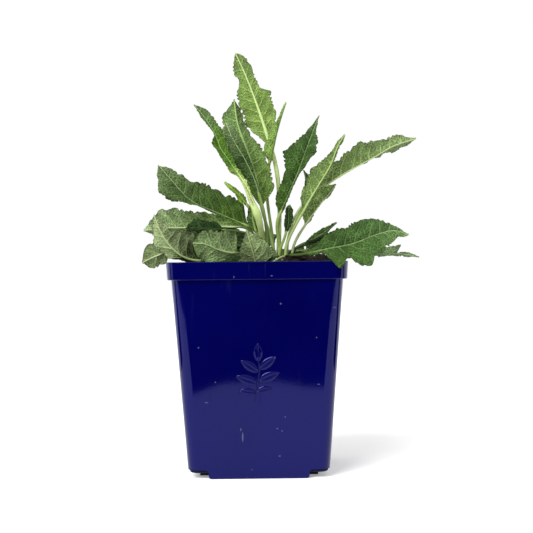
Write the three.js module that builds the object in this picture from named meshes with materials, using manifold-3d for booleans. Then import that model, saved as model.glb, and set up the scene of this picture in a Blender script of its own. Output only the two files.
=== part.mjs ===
// Perennial salvia growing in its square nursery pot.
// Millimetres, +Z up. The origin is the middle of the foot that the pot stands on.
import * as THREE from 'three';
import { mergeVertices } from 'three/addons/utils/BufferGeometryUtils.js';
import Module from 'manifold-3d';

const wasm = await Module();
wasm.setup();

// ---- driving dimensions ----
const CLEARANCE = 0.3;

const POT_HEIGHT = 170;
const RIM_HALF = 71;
const RIM_FOOT_HALF = 70.3;
const RIM_HEIGHT = 14;
const RIM_CORNER = 12;
const LIP_ROUND = 0.6;
const BODY_TOP_HALF = 67.3;
const BODY_FOOT_HALF = 55.5;
const BODY_CORNER_TOP = 11;
const BODY_CORNER_FOOT = 9;
const WALL = 1.5;
const LEDGE_HEIGHT = 7;
const SKIRT_HALF = 39.5;
const SKIRT_ROUND = 3;
const PLINTH_HALF = 47.8;
const PLINTH_CORNER = 6;
const DRAIN_RADIUS = 4.5;
const DRAIN_OFFSET = 36;
const TAG_WIDTH = 12;
const TAG_HEIGHT = 11;
const TAG_DEPTH = 0.4;
const CORNER_STEPS = 6;
const DRAIN_SIDES = 16;
const SKIRT_STEPS = 5;

const SOIL_LEVEL = 159;
const SOIL_RISE = 8;
const SOIL_RISE_SPREAD = 26;
const SOIL_CLOD = [42, -16, 12, 13];
const SOIL_GRID = 22;
const COARSE_LUMP = 0.7;
const FINE_LUMP = 0.5;

const CROWN_CENTRE = [16, 0];
const CROWN_RADIUS = 15.6;
const CROWN_FOOT = 148;
const CROWN_TOP = 172;
const CROWN_DOME = 3;
const CROWN_TAPER = 8;
const CROWN_SIDES = 24;
const SOCKET_SIDES = 8;
const SLOT_PITCH = 4.3;
const SOCKET_FLOOR = 160;
const COLLAR = 173;

const PETIOLE_RADIUS = 1.3;
const BLADE_THICKNESS = 0.8;
const TIP_HALF = 0.5;
const TOOTH_SPACING = 6;
const TOOTH_DEPTH = 1.5;
const TOOTH_LEAN = 0.3;
const FEWEST_TEETH = 4;
const NOTCH_SHARE = 0.3;
const SPREAD_LENGTH = 0.12;
const CREST_FADE = 4;
const KEEL_FADE = 1.5;
const KEEL_RISE = 0.2;
const WAVE_HEIGHT = 0.9;
const WAVE_RATE = 9;
const PETIOLE_REACH = 0.38;
const STEM_STEPS = 6;

const DEGREE = Math.PI / 180;

// ---- the leaves ----
// slot: ring and step of the socket in the crown. blade: points along the midrib, base to tip.
// left, right: half widths at even steps between base and tip, seen on the upper face, tip up.
// face: where the upper face looks, from base to tip. fold: degrees that each half is raised.
// radius, rise, reach: the petiole's size, its first climb and the ease of its bend. cut: notch depth.
// under: the paler lower face is the one turned to the front.
const LEAVES = [
  { name: 'leaf_tallest', slot: [1, 1], radius: 1.8, under: true, fold: 8,
    blade: [[10, 6, 276], [4, 1, 292], [-3, -6, 311], [-10, -11, 328], [-16, -18, 340]],
    left: [12, 14.5, 16, 10.5, 8.5, 9, 7], right: [15, 16.5, 16.5, 14, 9, 8.5, 6.5],
    face: [[0, 1, 0.1], [0, 1, 0.3]] },
  { name: 'leaf_tall_edge_on', slot: [1, 2], under: true, fold: 25,
    blade: [[11, 4, 252], [14.5, 0, 267], [19, -6, 283], [25, -10, 301]],
    left: [6, 7, 6, 4, 2], right: [6, 7, 6, 4, 2], face: [[-0.9, -0.35, 0.2], [-0.9, -0.3, 0.3]] },
  { name: 'leaf_tall_centre', slot: [1, 4], under: true, fold: 7,
    blade: [[4, -4, 216], [0, -4, 238], [-7, 3, 262], [-15, 11, 286], [-18, 15, 307]],
    left: [12, 14, 13.5, 12, 8, 6, 4], right: [7, 10, 13, 16, 16.5, 14.5, 9], face: [[0.1, 1, 0.1]] },
  { name: 'leaf_tall_front', slot: [2, 7], radius: 1.7, fold: 16,
    blade: [[-3, -14, 237], [-8, -13, 251], [-13, -12, 262], [-17, -11, 272], [-20, -9, 286]],
    left: [9, 11.5, 12, 10.5, 8, 5], right: [4, 5, 6, 6, 5.5, 4], face: [[0.1, -1, 0.2], [0.1, -1, 0.1]] },
  { name: 'leaf_twisted', slot: [3, 10], radius: 1.7, fold: 14,
    blade: [[-17, -20, 245], [-24, -22, 256], [-30, -22, 269], [-38, -22, 283], [-50, -23, 299]],
    left: [11, 9.5, 10, 12, 8, 8, 7], right: [3, 4.5, 6, 6, 5, 5, 4],
    face: [[0.3, -0.95, 0.2], [0.4, -0.9, 0.3], [0.65, -0.5, 0.5], [0.4, 0.8, 0.3], [0.3, 0.95, 0.3]] },
  { name: 'leaf_left_large', slot: [3, 8], radius: 1.6, fold: 16,
    blade: [[-13, 4, 203], [-32, 7, 211], [-55, 9, 222], [-71, 10, 239], [-82, 12, 252]],
    left: [8, 9, 8, 12, 20, 17, 11], right: [16, 20.5, 20, 20, 12, 9, 6.5],
    face: [[0.2, -0.8, 0.6], [0.1, -0.85, 0.5]] },
  { name: 'leaf_left_long', slot: [3, 9], under: true, fold: 12,
    blade: [[-24, -8, 201], [-35, -8, 200], [-57, -8, 199], [-75, -8, 199], [-93, -8, 197]],
    left: [8, 12, 16, 17, 17.5, 15, 9], right: [6, 10, 14, 15.5, 15, 13, 7],
    face: [[0, 0.75, 0.65], [0, 0.8, 0.6]] },
  { name: 'leaf_left_dark', slot: [2, 8], fold: 15,
    blade: [[-26, -22, 196], [-38, -25, 197], [-48, -27, 198], [-58, -29, 197]],
    left: [9, 12, 12, 11, 8], right: [8, 10, 10, 9, 6], face: [[0, -0.5, 0.85]] },
  { name: 'leaf_left_shaded', slot: [3, 11], rise: 4, fold: 12,
    blade: [[-24, -13, 176], [-42, -17, 179], [-58, -20, 180], [-75, -22, 179]],
    left: [10, 13, 13, 11, 6], right: [11, 15, 16, 14, 9], face: [[0, -0.75, 0.65]] },
  { name: 'leaf_left_pale', slot: [3, 13], rise: 4, under: true, fold: 12,
    blade: [[-42, -34, 171], [-54, -39, 173], [-62, -42, 177], [-70, -44, 185],
      [-76, -46, 195], [-81, -47, 208]],
    left: [10, 16, 20, 20, 15, 9, 6], right: [5, 6, 8, 12, 12, 9, 6],
    face: [[0.3, 0.85, 0.4], [0.3, 0.9, 0.3]] },
  { name: 'leaf_left_drooping', slot: [3, 12], rise: 5, under: true, fold: 12,
    blade: [[-72, -31, 180], [-77, -32, 177], [-84, -33, 174], [-92, -34, 170]],
    left: [8, 12, 13, 12, 8], right: [8, 12, 14, 13, 9], face: [[0.2, 0.95, -0.1]] },
  { name: 'leaf_front_left', slot: [3, 14], radius: 1.1, rise: 3, under: true, fold: 10,
    blade: [[-16, -44, 177], [-24, -48, 178], [-31, -51, 180], [-40, -54, 184], [-52, -57, 186]],
    left: [20, 20, 18, 15, 9], right: [7, 12, 15, 17, 15], face: [[0.1, 0.85, 0.5], [0.1, 0.9, 0.4]] },
  { name: 'leaf_front', slot: [3, 15], radius: 0.9, rise: 5, reach: 6, under: true, fold: 8,
    blade: [[2, -38, 165], [0, -43, 167], [-4, -54, 180], [-8, -63, 195]],
    left: [12, 16, 15, 12, 7], right: [9, 12, 14, 12, 7], face: [[0, 0.77, 0.64]] },
  { name: 'leaf_small_bright', slot: [2, 5], fold: 15,
    blade: [[-7, -2, 219], [-12, -3, 226], [-18, -5, 231], [-26, -6, 237]],
    left: [6, 7, 6, 4.5], right: [4, 4.5, 4.5, 4], face: [[0.3, -0.8, 0.5]] },
  { name: 'leaf_small_round', slot: [1, 3], under: true, fold: 8,
    blade: [[0, -3, 194], [-3, -4, 205], [-4, -4, 218]],
    left: [6, 7, 7, 5], right: [5, 6, 6, 4.5], face: [[0.2, 0.9, 0.2]] },
  { name: 'leaf_bud', slot: [2, 4], radius: 1, fold: 20,
    blade: [[-6, 10, 197], [-8, 10, 203], [-11, 9, 210]],
    left: [3, 4, 3], right: [3, 4, 3], face: [[0, -1, 0.2]] },
  { name: 'leaf_right_dark', slot: [1, 0], fold: 22,
    blade: [[19, 1, 209], [27, 1, 227], [35, 2, 245], [43, 4, 266], [53, 8, 292]],
    left: [9, 9.5, 10, 13, 19, 15.5, 8], right: [4, 3, 2.5, 4.5, 8, 12, 5],
    face: [[-0.5, -0.85, 0.1], [-0.3, -0.9, 0.1]] },
  { name: 'leaf_right_forked', slot: [2, 11], under: true, fold: 12,
    blade: [[36, -6, 207], [42, -7, 218], [50, -7, 231], [61, -8, 249], [67, -9, 264], [73, -10, 274]],
    left: [7, 7.5, 7.5, 5.5, 3, 2.5, 3.5], right: [6, 9, 12.5, 12.5, 9, 5.5, 4], face: [[-0.2, 0.95, 0.2]] },
  { name: 'leaf_right_long', slot: [2, 0], under: true, fold: 30,
    blade: [[50, 3, 228], [61, 4, 236], [78, 5, 246], [97, 7, 256], [115, 7, 266], [134, 8, 272]],
    left: [7, 9, 9, 11, 14.5, 15, 10], right: [11, 14, 17, 19, 14.5, 11, 8],
    face: [[-0.4, 0.5, 0.77], [-0.4, 0.5, 0.77], [-0.35, 0.6, 0.7], [-0.2, 0.85, 0.45]] },
  { name: 'leaf_right_short', slot: [3, 0], under: true, fold: 22,
    blade: [[40, 4, 200], [46, 8, 209], [53, 12, 218], [60, 14, 226], [67, 16, 235]],
    left: [5, 4.5, 4, 4.5, 5], right: [8, 10, 11, 11, 8], face: [[-0.5, 0.6, 0.3]] },
  { name: 'leaf_right_behind', slot: [2, 1], fold: 15,
    blade: [[37, 8, 218], [39, 9, 226], [42, 9, 236], [40, 10, 248]],
    left: [4.5, 6, 5, 3], right: [5, 6, 5, 4], face: [[0, -1, 0.1]] },
  { name: 'leaf_small_folded', slot: [1, 5], radius: 1.1, fold: 30,
    blade: [[24, -5, 194], [26, -6, 203], [26, -6, 211], [27, -7, 217]],
    left: [5.5, 7, 6.5, 5], right: [4, 5, 5.5, 4.5], face: [[0.2, -0.9, 0.2]] },
  { name: 'leaf_right_narrow', slot: [3, 1], radius: 1.1, fold: 20,
    blade: [[39, 2, 186], [50, 2, 193], [60, 2, 199], [67, 2, 202]],
    left: [4, 5, 5, 4], right: [5, 6.5, 6.5, 5], face: [[-0.4, -0.2, 0.9]] },
  { name: 'leaf_right_narrow_back', slot: [3, 2], radius: 1.1, fold: 15,
    blade: [[43, 8, 185], [51, 9, 188], [60, 11, 191], [74, 12, 197]],
    left: [5, 6, 6, 4], right: [8, 9, 9, 7], face: [[-0.3, -0.4, 0.85]] },
  { name: 'leaf_right_low', slot: [3, 16], rise: 4, fold: 6,
    blade: [[40, -50, 176], [53, -64, 179], [74, -69, 183], [93, -66, 190],
      [107, -62, 193], [119, -55, 190]],
    left: [7, 12, 16, 16, 15.5, 11.5, 7, 3],
    right: [3, 4, 3, 4, 12, 20, 15, 22, 24, 26, 29, 26, 20, 16, 12, 7, 5, 4, 3],
    face: [[0, -0.85, 0.5], [-0.1, -0.9, 0.4]] },
  { name: 'leaf_right_jagged', slot: [3, 17], rise: 4, fold: 10, cut: 2.5,
    blade: [[85, -2, 179], [98, 0, 177], [111, 2, 176], [123, 4, 175], [135, 6, 173]],
    left: [8, 10, 11, 12, 13, 14, 15, 5, 3], right: [6, 8, 9, 10, 12, 12, 5, 3, 2],
    face: [[0, -0.55, 0.85]] },
  { name: 'leaf_back_left', slot: [3, 6], fold: 14,
    blade: [[-10, 30, 188], [-24, 44, 194], [-38, 56, 196], [-50, 64, 192]],
    left: [10, 14, 14, 11, 7], right: [10, 14, 14, 11, 7], face: [[0, 0, 1]] },
  { name: 'leaf_back', slot: [3, 5], fold: 14,
    blade: [[8, 38, 182], [5, 54, 188], [3, 70, 190], [2, 86, 186]],
    left: [10, 14, 15, 12, 7], right: [10, 14, 15, 12, 7], face: [[0, 0, 1]] },
  { name: 'leaf_back_right', slot: [3, 3], fold: 14,
    blade: [[42, 28, 180], [56, 40, 186], [70, 50, 188], [84, 58, 184]],
    left: [10, 13, 14, 11, 7], right: [10, 13, 14, 11, 7], face: [[0, 0, 1]] },
  { name: 'leaf_back_low_left', slot: [3, 7], rise: 6, fold: 14,
    blade: [[-28, 24, 180], [-44, 33, 184], [-58, 41, 184], [-72, 48, 179]],
    left: [10, 13, 13, 10, 6], right: [10, 13, 13, 10, 6], face: [[0, 0, 1]] },
  { name: 'leaf_back_low', slot: [3, 4], rise: 5, fold: 12,
    blade: [[25, 42, 174], [29, 58, 178], [32, 72, 178], [34, 84, 174]],
    left: [9, 12, 12, 9, 6], right: [9, 12, 12, 9, 6], face: [[0, 0, 1]] },
];

// ---- solids from closed meshes ----
function solidFrom(geometry) {
  const plain = geometry.index ? geometry.clone() : geometry;
  plain.deleteAttribute('normal');
  plain.deleteAttribute('uv');
  const merged = mergeVertices(plain, 1e-4);
  return new wasm.Manifold(new wasm.Mesh({
    numProp: 3,
    vertProperties: new Float32Array(merged.attributes.position.array),
    triVerts: new Uint32Array(merged.index.array),
  }));
}

function geometryFrom(solid) {
  const mesh = solid.getMesh();
  const geometry = new THREE.BufferGeometry();
  geometry.setAttribute('position', new THREE.BufferAttribute(new Float32Array(mesh.vertProperties), 3));
  geometry.setIndex(new THREE.BufferAttribute(new Uint32Array(mesh.triVerts), 1));
  geometry.computeVertexNormals();
  return geometry;
}

function geometryFromLists(points, triangles) {
  const geometry = new THREE.BufferGeometry();
  geometry.setAttribute('position', new THREE.Float32BufferAttribute(points.flatMap((p) => p.toArray()), 3));
  geometry.setIndex(triangles.flat());
  geometry.computeVertexNormals();
  return geometry;
}

// A closed body through rings of equal count, listed upward, each counter-clockwise seen from above.
function loft(rings) {
  const count = rings[0].length;
  const points = rings.flat();
  const triangles = [];
  for (let r = 0; r < rings.length - 1; r += 1) {
    for (let i = 0; i < count; i += 1) {
      const a = r * count + i;
      const b = r * count + ((i + 1) % count);
      triangles.push([a, b, b + count], [a, b + count, a + count]);
    }
  }
  const top = (rings.length - 1) * count;
  for (let i = 1; i < count - 1; i += 1) {
    triangles.push([0, i + 1, i], [top, top + i, top + i + 1]);
  }
  return geometryFromLists(points, triangles);
}

function roundedSquare(half, corner, z) {
  const ring = [];
  for (let quarter = 0; quarter < 4; quarter += 1) {
    const turn = quarter * 90;
    const centre = new THREE.Vector2(half - corner, half - corner);
    centre.rotateAround(new THREE.Vector2(), turn * DEGREE);
    for (let step = 0; step <= CORNER_STEPS; step += 1) {
      const angle = (turn + (90 * step) / CORNER_STEPS) * DEGREE;
      const x = centre.x + corner * Math.cos(angle);
      const y = centre.y + corner * Math.sin(angle);
      ring.push(new THREE.Vector3(x, y, z));
    }
  }
  return ring;
}

function block(size, centre) {
  return solidFrom(new THREE.BoxGeometry(...size).translate(...centre));
}

// An upright round or many-sided peg whose flats lie at the given radius.
function peg(radius, sides, x, y, foot, top) {
  const corner = radius / Math.cos(Math.PI / sides);
  const geometry = new THREE.CylinderGeometry(corner, corner, top - foot, sides).rotateX(Math.PI / 2);
  return solidFrom(geometry.translate(x, y, (foot + top) / 2));
}

// ---- the pot ----
const BODY_TOP = POT_HEIGHT - RIM_HEIGHT;
const bodyHalf = (z) => THREE.MathUtils.mapLinear(z, 0, BODY_TOP, BODY_FOOT_HALF, BODY_TOP_HALF);
const bodyCorner = (z) => THREE.MathUtils.mapLinear(z, 0, BODY_TOP, BODY_CORNER_FOOT, BODY_CORNER_TOP);

// The room inside the pot, or what fills it when an inset is given.
function innerRoom(inset, top) {
  const step = BODY_TOP + WALL;
  const wall = WALL + inset;
  const shelf = LEDGE_HEIGHT + wall;
  const inner = (z) => roundedSquare(bodyHalf(z) - wall, bodyCorner(z) - wall, z);
  const rimInner = (z) => roundedSquare(RIM_FOOT_HALF - wall, RIM_CORNER - wall, z);
  const body = solidFrom(loft([inner(shelf), inner(step + inset + 1)]));
  const rim = solidFrom(loft([rimInner(step + inset), rimInner(top)]));
  const plinthHalf = PLINTH_HALF - wall;
  const foot = solidFrom(loft([
    roundedSquare(plinthHalf, PLINTH_CORNER - wall, wall),
    roundedSquare(plinthHalf, PLINTH_CORNER - wall, shelf + 1),
  ]));
  const reach = 2 * (BODY_FOOT_HALF - wall);
  const width = 2 * (SKIRT_HALF - wall);
  const middle = (wall + shelf + 1) / 2;
  const across = block([reach, width, shelf + 1 - wall], [0, 0, middle]);
  const along = block([width, reach, shelf + 1 - wall], [0, 0, middle]);
  return body.add(rim).add(foot).add(across).add(along);
}

// The prism that frees a corner of the foot, its inner edge rounded into the ledge.
function skirtCut(turn) {
  const far = BODY_TOP_HALF;
  const profile = new THREE.Shape();
  profile.moveTo(SKIRT_HALF, -1);
  profile.lineTo(far, -1);
  profile.lineTo(far, LEDGE_HEIGHT);
  profile.lineTo(SKIRT_HALF + SKIRT_ROUND, LEDGE_HEIGHT);
  const centre = [SKIRT_HALF + SKIRT_ROUND, LEDGE_HEIGHT - SKIRT_ROUND];
  profile.absarc(...centre, SKIRT_ROUND, 90 * DEGREE, 180 * DEGREE, false);
  profile.closePath();
  const length = 2 * far;
  const sweep = { depth: length, bevelEnabled: false, curveSegments: SKIRT_STEPS };
  const geometry = new THREE.ExtrudeGeometry(profile, sweep);
  geometry.translate(0, 0, -length / 2).rotateX(Math.PI / 2).rotateZ(turn * DEGREE);
  return solidFrom(geometry);
}

function potGeometry() {
  const outside = solidFrom(loft([
    roundedSquare(bodyHalf(0), bodyCorner(0), 0),
    roundedSquare(BODY_TOP_HALF, BODY_CORNER_TOP, BODY_TOP + 1),
  ]));
  const rim = solidFrom(loft([
    roundedSquare(RIM_FOOT_HALF - LIP_ROUND, RIM_CORNER, BODY_TOP),
    roundedSquare(RIM_FOOT_HALF, RIM_CORNER, BODY_TOP + LIP_ROUND),
    roundedSquare(RIM_HALF, RIM_CORNER, POT_HEIGHT - LIP_ROUND),
    roundedSquare(RIM_HALF - LIP_ROUND, RIM_CORNER, POT_HEIGHT),
  ]));
  const plinth = solidFrom(loft([
    roundedSquare(PLINTH_HALF, PLINTH_CORNER, 0),
    roundedSquare(PLINTH_HALF, PLINTH_CORNER, LEDGE_HEIGHT + 1),
  ]));
  let body = outside.add(rim);
  for (let quarter = 0; quarter < 4; quarter += 1) {
    const corner = skirtCut(90 * quarter).intersect(skirtCut(90 * quarter + 90));
    body = body.subtract(corner);
  }
  body = body.add(plinth).subtract(innerRoom(0, POT_HEIGHT + 1));
  for (const x of [-DRAIN_OFFSET, DRAIN_OFFSET]) {
    for (const y of [-DRAIN_OFFSET, DRAIN_OFFSET]) {
      body = body.subtract(peg(DRAIN_RADIUS, DRAIN_SIDES, x, y, -1, WALL + 1));
    }
  }
  const tagSize = [TAG_WIDTH, 2 * TAG_DEPTH, TAG_HEIGHT];
  const tag = block(tagSize, [0, -RIM_FOOT_HALF - TAG_DEPTH / 2, POT_HEIGHT - RIM_HEIGHT / 2]);
  return geometryFrom(body.subtract(tag));
}

// ---- the soil ----
function soilHeight(x, y) {
  const [cx, cy] = CROWN_CENTRE;
  const rise = SOIL_RISE * Math.exp(-((x - cx) ** 2 + (y - cy) ** 2) / SOIL_RISE_SPREAD ** 2);
  const [clodX, clodY, clodSpread, clodRise] = SOIL_CLOD;
  const clod = clodRise * Math.exp(-((x - clodX) ** 2 + (y - clodY) ** 2) / clodSpread ** 2);
  const coarse = COARSE_LUMP * Math.sin(0.31 * x + 0.9) * Math.cos(0.27 * y - 0.4);
  const fine = FINE_LUMP * Math.sin(0.17 * x - 0.23 * y);
  return SOIL_LEVEL + rise + clod + coarse + fine;
}

function soilGeometry() {
  const span = 2 * RIM_HALF;
  const top = new THREE.PlaneGeometry(span, span, SOIL_GRID, SOIL_GRID);
  const position = top.attributes.position;
  for (let i = 0; i < position.count; i += 1) {
    position.setZ(i, soilHeight(position.getX(i), position.getY(i)));
  }
  const columns = SOIL_GRID + 1;
  const index = (row, column) => row * columns + column;
  const steps = Array.from({ length: SOIL_GRID }, (_, i) => i);
  const edge = [
    ...steps.map((i) => index(i, 0)),
    ...steps.map((i) => index(SOIL_GRID, i)),
    ...steps.map((i) => index(SOIL_GRID - i, SOIL_GRID)),
    ...steps.map((i) => index(0, SOIL_GRID - i)),
  ];
  const points = [];
  for (let i = 0; i < position.count; i += 1) {
    points.push(new THREE.Vector3().fromBufferAttribute(position, i));
  }
  const foot = points.length;
  for (const i of edge) {
    points.push(new THREE.Vector3(points[i].x, points[i].y, -1));
  }
  const middle = points.length;
  points.push(new THREE.Vector3(0, 0, -1));
  const triangles = [];
  const topIndex = Array.from(top.index.array);
  for (let i = 0; i < topIndex.length; i += 3) {
    triangles.push(topIndex.slice(i, i + 3));
  }
  for (let i = 0; i < edge.length; i += 1) {
    const next = (i + 1) % edge.length;
    triangles.push([edge[i], foot + i, foot + next], [edge[i], foot + next, edge[next]]);
    triangles.push([foot + i, middle, foot + next]);
  }
  const heap = solidFrom(geometryFromLists(points, triangles));
  const filling = innerRoom(CLEARANCE, POT_HEIGHT + 8).intersect(heap);
  const [x, y] = CROWN_CENTRE;
  const hole = peg(CROWN_RADIUS + CLEARANCE, CROWN_SIDES, x, y, CROWN_FOOT - CLEARANCE, CROWN_TOP + 10);
  return geometryFrom(filling.subtract(hole));
}

// ---- the crown and its sockets ----
function slotPlace([ring, step]) {
  const angle = (ring === 0 ? 0 : (step * 60) / ring) * DEGREE;
  const radius = ring * SLOT_PITCH;
  return [CROWN_CENTRE[0] + radius * Math.cos(angle), CROWN_CENTRE[1] + radius * Math.sin(angle)];
}

function crownGeometry() {
  const profile = [
    new THREE.Vector2(0, CROWN_FOOT),
    new THREE.Vector2(CROWN_RADIUS * 0.7, CROWN_FOOT),
    new THREE.Vector2(CROWN_RADIUS, CROWN_FOOT + CROWN_TAPER),
    new THREE.Vector2(CROWN_RADIUS, CROWN_TOP - CROWN_DOME),
    new THREE.Vector2(CROWN_RADIUS * 0.6, CROWN_TOP - CROWN_DOME * 0.3),
    new THREE.Vector2(0, CROWN_TOP),
  ];
  const [x, y] = CROWN_CENTRE;
  const turned = new THREE.LatheGeometry(profile, CROWN_SIDES).rotateX(Math.PI / 2);
  let crown = solidFrom(turned.translate(x, y, 0));
  for (const leaf of LEAVES) {
    const [slotX, slotY] = slotPlace(leaf.slot);
    const radius = (leaf.radius ?? PETIOLE_RADIUS) + CLEARANCE;
    crown = crown.subtract(peg(radius, SOCKET_SIDES, slotX, slotY, SOCKET_FLOOR - CLEARANCE, CROWN_TOP + 5));
  }
  return geometryFrom(crown);
}

// ---- a leaf: petiole and blade in one closed body ----
function blendList(values, t) {
  const at = t * (values.length - 1);
  const i = Math.min(Math.floor(at), values.length - 2);
  return THREE.MathUtils.lerp(values[i], values[i + 1], at - i);
}

// A smooth curve through the half widths, from the petiole's to the tip's.
function halfWidth(widths, radius, t) {
  const list = [radius, ...widths, TIP_HALF];
  const at = t * (list.length - 1);
  const i = Math.min(Math.floor(at), list.length - 2);
  const f = at - i;
  const before = list[Math.max(i - 1, 0)];
  const after = list[Math.min(i + 2, list.length - 1)];
  const slopeIn = (list[i + 1] - before) / 2;
  const slopeOut = (after - list[i]) / 2;
  const smooth = (2 * f ** 3 - 3 * f ** 2 + 1) * list[i] + (f ** 3 - 2 * f ** 2 + f) * slopeIn
    + (3 * f ** 2 - 2 * f ** 3) * list[i + 1] + (f ** 3 - f ** 2) * slopeOut;
  return Math.max(smooth, TIP_HALF);
}

function faceAt(face, t) {
  if (face.length === 1) return new THREE.Vector3(...face[0]);
  return new THREE.Vector3(...[0, 1, 2].map((k) => blendList(face.map((f) => f[k]), t)));
}

// A petiole that leaves its socket upright and meets the blade along the midrib.
function petioleCurve(leaf, base, heading) {
  const [x, y] = slotPlace(leaf.slot);
  const collar = new THREE.Vector3(x, y, COLLAR);
  const reach = leaf.reach ?? PETIOLE_REACH * collar.distanceTo(base);
  const climb = Math.min(reach, leaf.rise ?? reach);
  const lifted = new THREE.Vector3(x, y, COLLAR + climb);
  const approach = base.clone().addScaledVector(heading, -reach);
  return new THREE.CubicBezierCurve3(collar, lifted, approach, base);
}

// Centres and tangents from the socket to the tip. t runs along the blade and is -1 on the petiole.
function leafStations(leaf) {
  const blade = new THREE.CatmullRomCurve3(leaf.blade.map((p) => new THREE.Vector3(...p)));
  const petiole = petioleCurve(leaf, blade.getPoint(0), blade.getTangent(0));
  const [x, y] = slotPlace(leaf.slot);
  const floor = new THREE.Vector3(x, y, SOCKET_FLOOR);
  const stations = [{ at: floor, along: new THREE.Vector3(0, 0, 1), t: -1 }];
  for (let i = 0; i < STEM_STEPS; i += 1) {
    const u = i / STEM_STEPS;
    stations.push({ at: petiole.getPoint(u), along: petiole.getTangent(u), t: -1 });
  }
  const teeth = Math.max(FEWEST_TEETH, Math.round(blade.getLength() / TOOTH_SPACING));
  for (let i = 0; i <= 2 * teeth; i += 1) {
    const tooth = i % 2 === 1;
    const t = (tooth ? i + TOOTH_LEAN : i) / (2 * teeth);
    stations.push({ at: blade.getPoint(t), along: blade.getTangent(t), t, tooth });
  }
  return stations;
}

// The direction square to a station's tangent that lies nearest to the wanted one.
function squared(wanted, along) {
  return wanted.clone().addScaledVector(along, -wanted.dot(along)).normalize();
}

// Gives every station its upper-face direction, carried down the petiole without twist.
function faceStations(leaf, stations) {
  const first = stations.findIndex((station) => station.t >= 0);
  let up = faceAt(leaf.face, 0);
  for (let i = first; i >= 0; i -= 1) {
    up = squared(up, stations[i].along);
    stations[i].up = up;
  }
  for (const station of stations.slice(first)) {
    station.up = squared(faceAt(leaf.face, station.t), station.along);
  }
}

// Six offsets round a petiole: left top, crest, right top, right foot, keel, left foot.
function petioleRing(radius) {
  const across = radius * Math.cos(30 * DEGREE);
  const low = radius / 2;
  return [[-across, low], [0, radius], [across, low], [across, -low], [0, -radius], [-across, -low]];
}

// The same six offsets on the folded, toothed blade.
function bladeRing(leaf, radius, t, tooth) {
  const spread = THREE.MathUtils.smoothstep(t, 0, SPREAD_LENGTH);
  const fold = leaf.fold * DEGREE;
  const skin = BLADE_THICKNESS / 2 / Math.cos(fold);
  const rim = THREE.MathUtils.lerp(radius / 2, THREE.MathUtils.lerp(radius, skin, spread), spread);
  const wave = WAVE_HEIGHT * spread * Math.sin(WAVE_RATE * t + leaf.slot[1]);
  const margin = (sign, widths) => {
    const full = halfWidth(widths, radius, t);
    const notch = tooth ? 0 : Math.min(leaf.cut ?? TOOTH_DEPTH, NOTCH_SHARE * full) * spread;
    const width = full - notch;
    return [sign * width * Math.cos(fold * spread), width * Math.sin(fold * spread) + sign * wave];
  };
  const [leftX, leftZ] = margin(-1, leaf.left);
  const [rightX, rightZ] = margin(1, leaf.right);
  const crest = THREE.MathUtils.lerp(radius, skin, Math.min(1, CREST_FADE * t));
  const keel = THREE.MathUtils.lerp(radius, skin + KEEL_RISE, Math.min(1, KEEL_FADE * t));
  return [
    [leftX, leftZ + rim], [0, crest], [rightX, rightZ + rim],
    [rightX, rightZ - rim], [0, -keel], [leftX, leftZ - rim],
  ];
}

function leafGeometry(leaf) {
  const radius = leaf.radius ?? PETIOLE_RADIUS;
  const stations = leafStations(leaf);
  faceStations(leaf, stations);
  const rings = stations.map(({ at, along, up, t, tooth }) => {
    const side = new THREE.Vector3().crossVectors(along, up);
    const offsets = t < 0 ? petioleRing(radius) : bladeRing(leaf, radius, t, tooth);
    const corner = ([across, lift]) => at.clone().addScaledVector(side, across).addScaledVector(up, lift);
    return offsets.map(corner);
  });
  return lengthwiseSkin(rings);
}

// Six-point rings joined so that the upper and lower skins are split alike.
function lengthwiseSkin(rings) {
  const points = rings.flat();
  const triangles = [];
  for (let r = 0; r < rings.length - 1; r += 1) {
    for (let i = 0; i < 6; i += 1) {
      const a = r * 6 + i;
      const b = r * 6 + ((i + 1) % 6);
      const c = b + 6;
      const d = a + 6;
      const split = i % 2 === 1 ? [[a, b, d], [b, c, d]] : [[a, b, c], [a, c, d]];
      triangles.push(...split);
    }
  }
  const end = (rings.length - 1) * 6;
  for (const [i, j, k] of [[0, 1, 5], [1, 4, 5], [1, 2, 4], [2, 3, 4]]) {
    triangles.push([i, k, j], [end + i, end + j, end + k]);
  }
  return geometryFromLists(points, triangles);
}

// ---- assembly ----
const FINISH = {
  pot: { color: 0x0a0a5c, roughness: 0.25, metalness: 0 },
  soil: { color: 0x2a2019, roughness: 0.95, metalness: 0 },
  crown: { color: 0x8a9a5a, roughness: 0.7, metalness: 0 },
  upperLeaf: { color: 0x46693a, roughness: 0.6, metalness: 0 },
  underLeaf: { color: 0x7f9a62, roughness: 0.7, metalness: 0 },
};

function piece(name, geometry, finish) {
  const mesh = new THREE.Mesh(geometry, new THREE.MeshStandardMaterial(finish));
  mesh.name = name;
  return mesh;
}

const salvia = new THREE.Group();
salvia.name = 'perennial_salvia';
salvia.add(piece('pot', potGeometry(), FINISH.pot));
salvia.add(piece('soil', soilGeometry(), FINISH.soil));
salvia.add(piece('crown', crownGeometry(), FINISH.crown));
for (const leaf of LEAVES) {
  salvia.add(piece(leaf.name, leafGeometry(leaf), leaf.under ? FINISH.underLeaf : FINISH.upperLeaf));
}

export default salvia;
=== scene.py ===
"""A perennial salvia in its square nursery pot.

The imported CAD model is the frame. Round it this script builds the fine leaves, the crown, the soil and
the moulded pot, and gives every surface its finish. Tables are in millimetres and degrees, as in the
part's source. Each leaf grows from its CAD node's place in the crown and follows nearly the same curves:
a few stand a little straighter, wider or longer than their node.
"""

import math

import bpy
import numpy as np
from mathutils import Matrix


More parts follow.
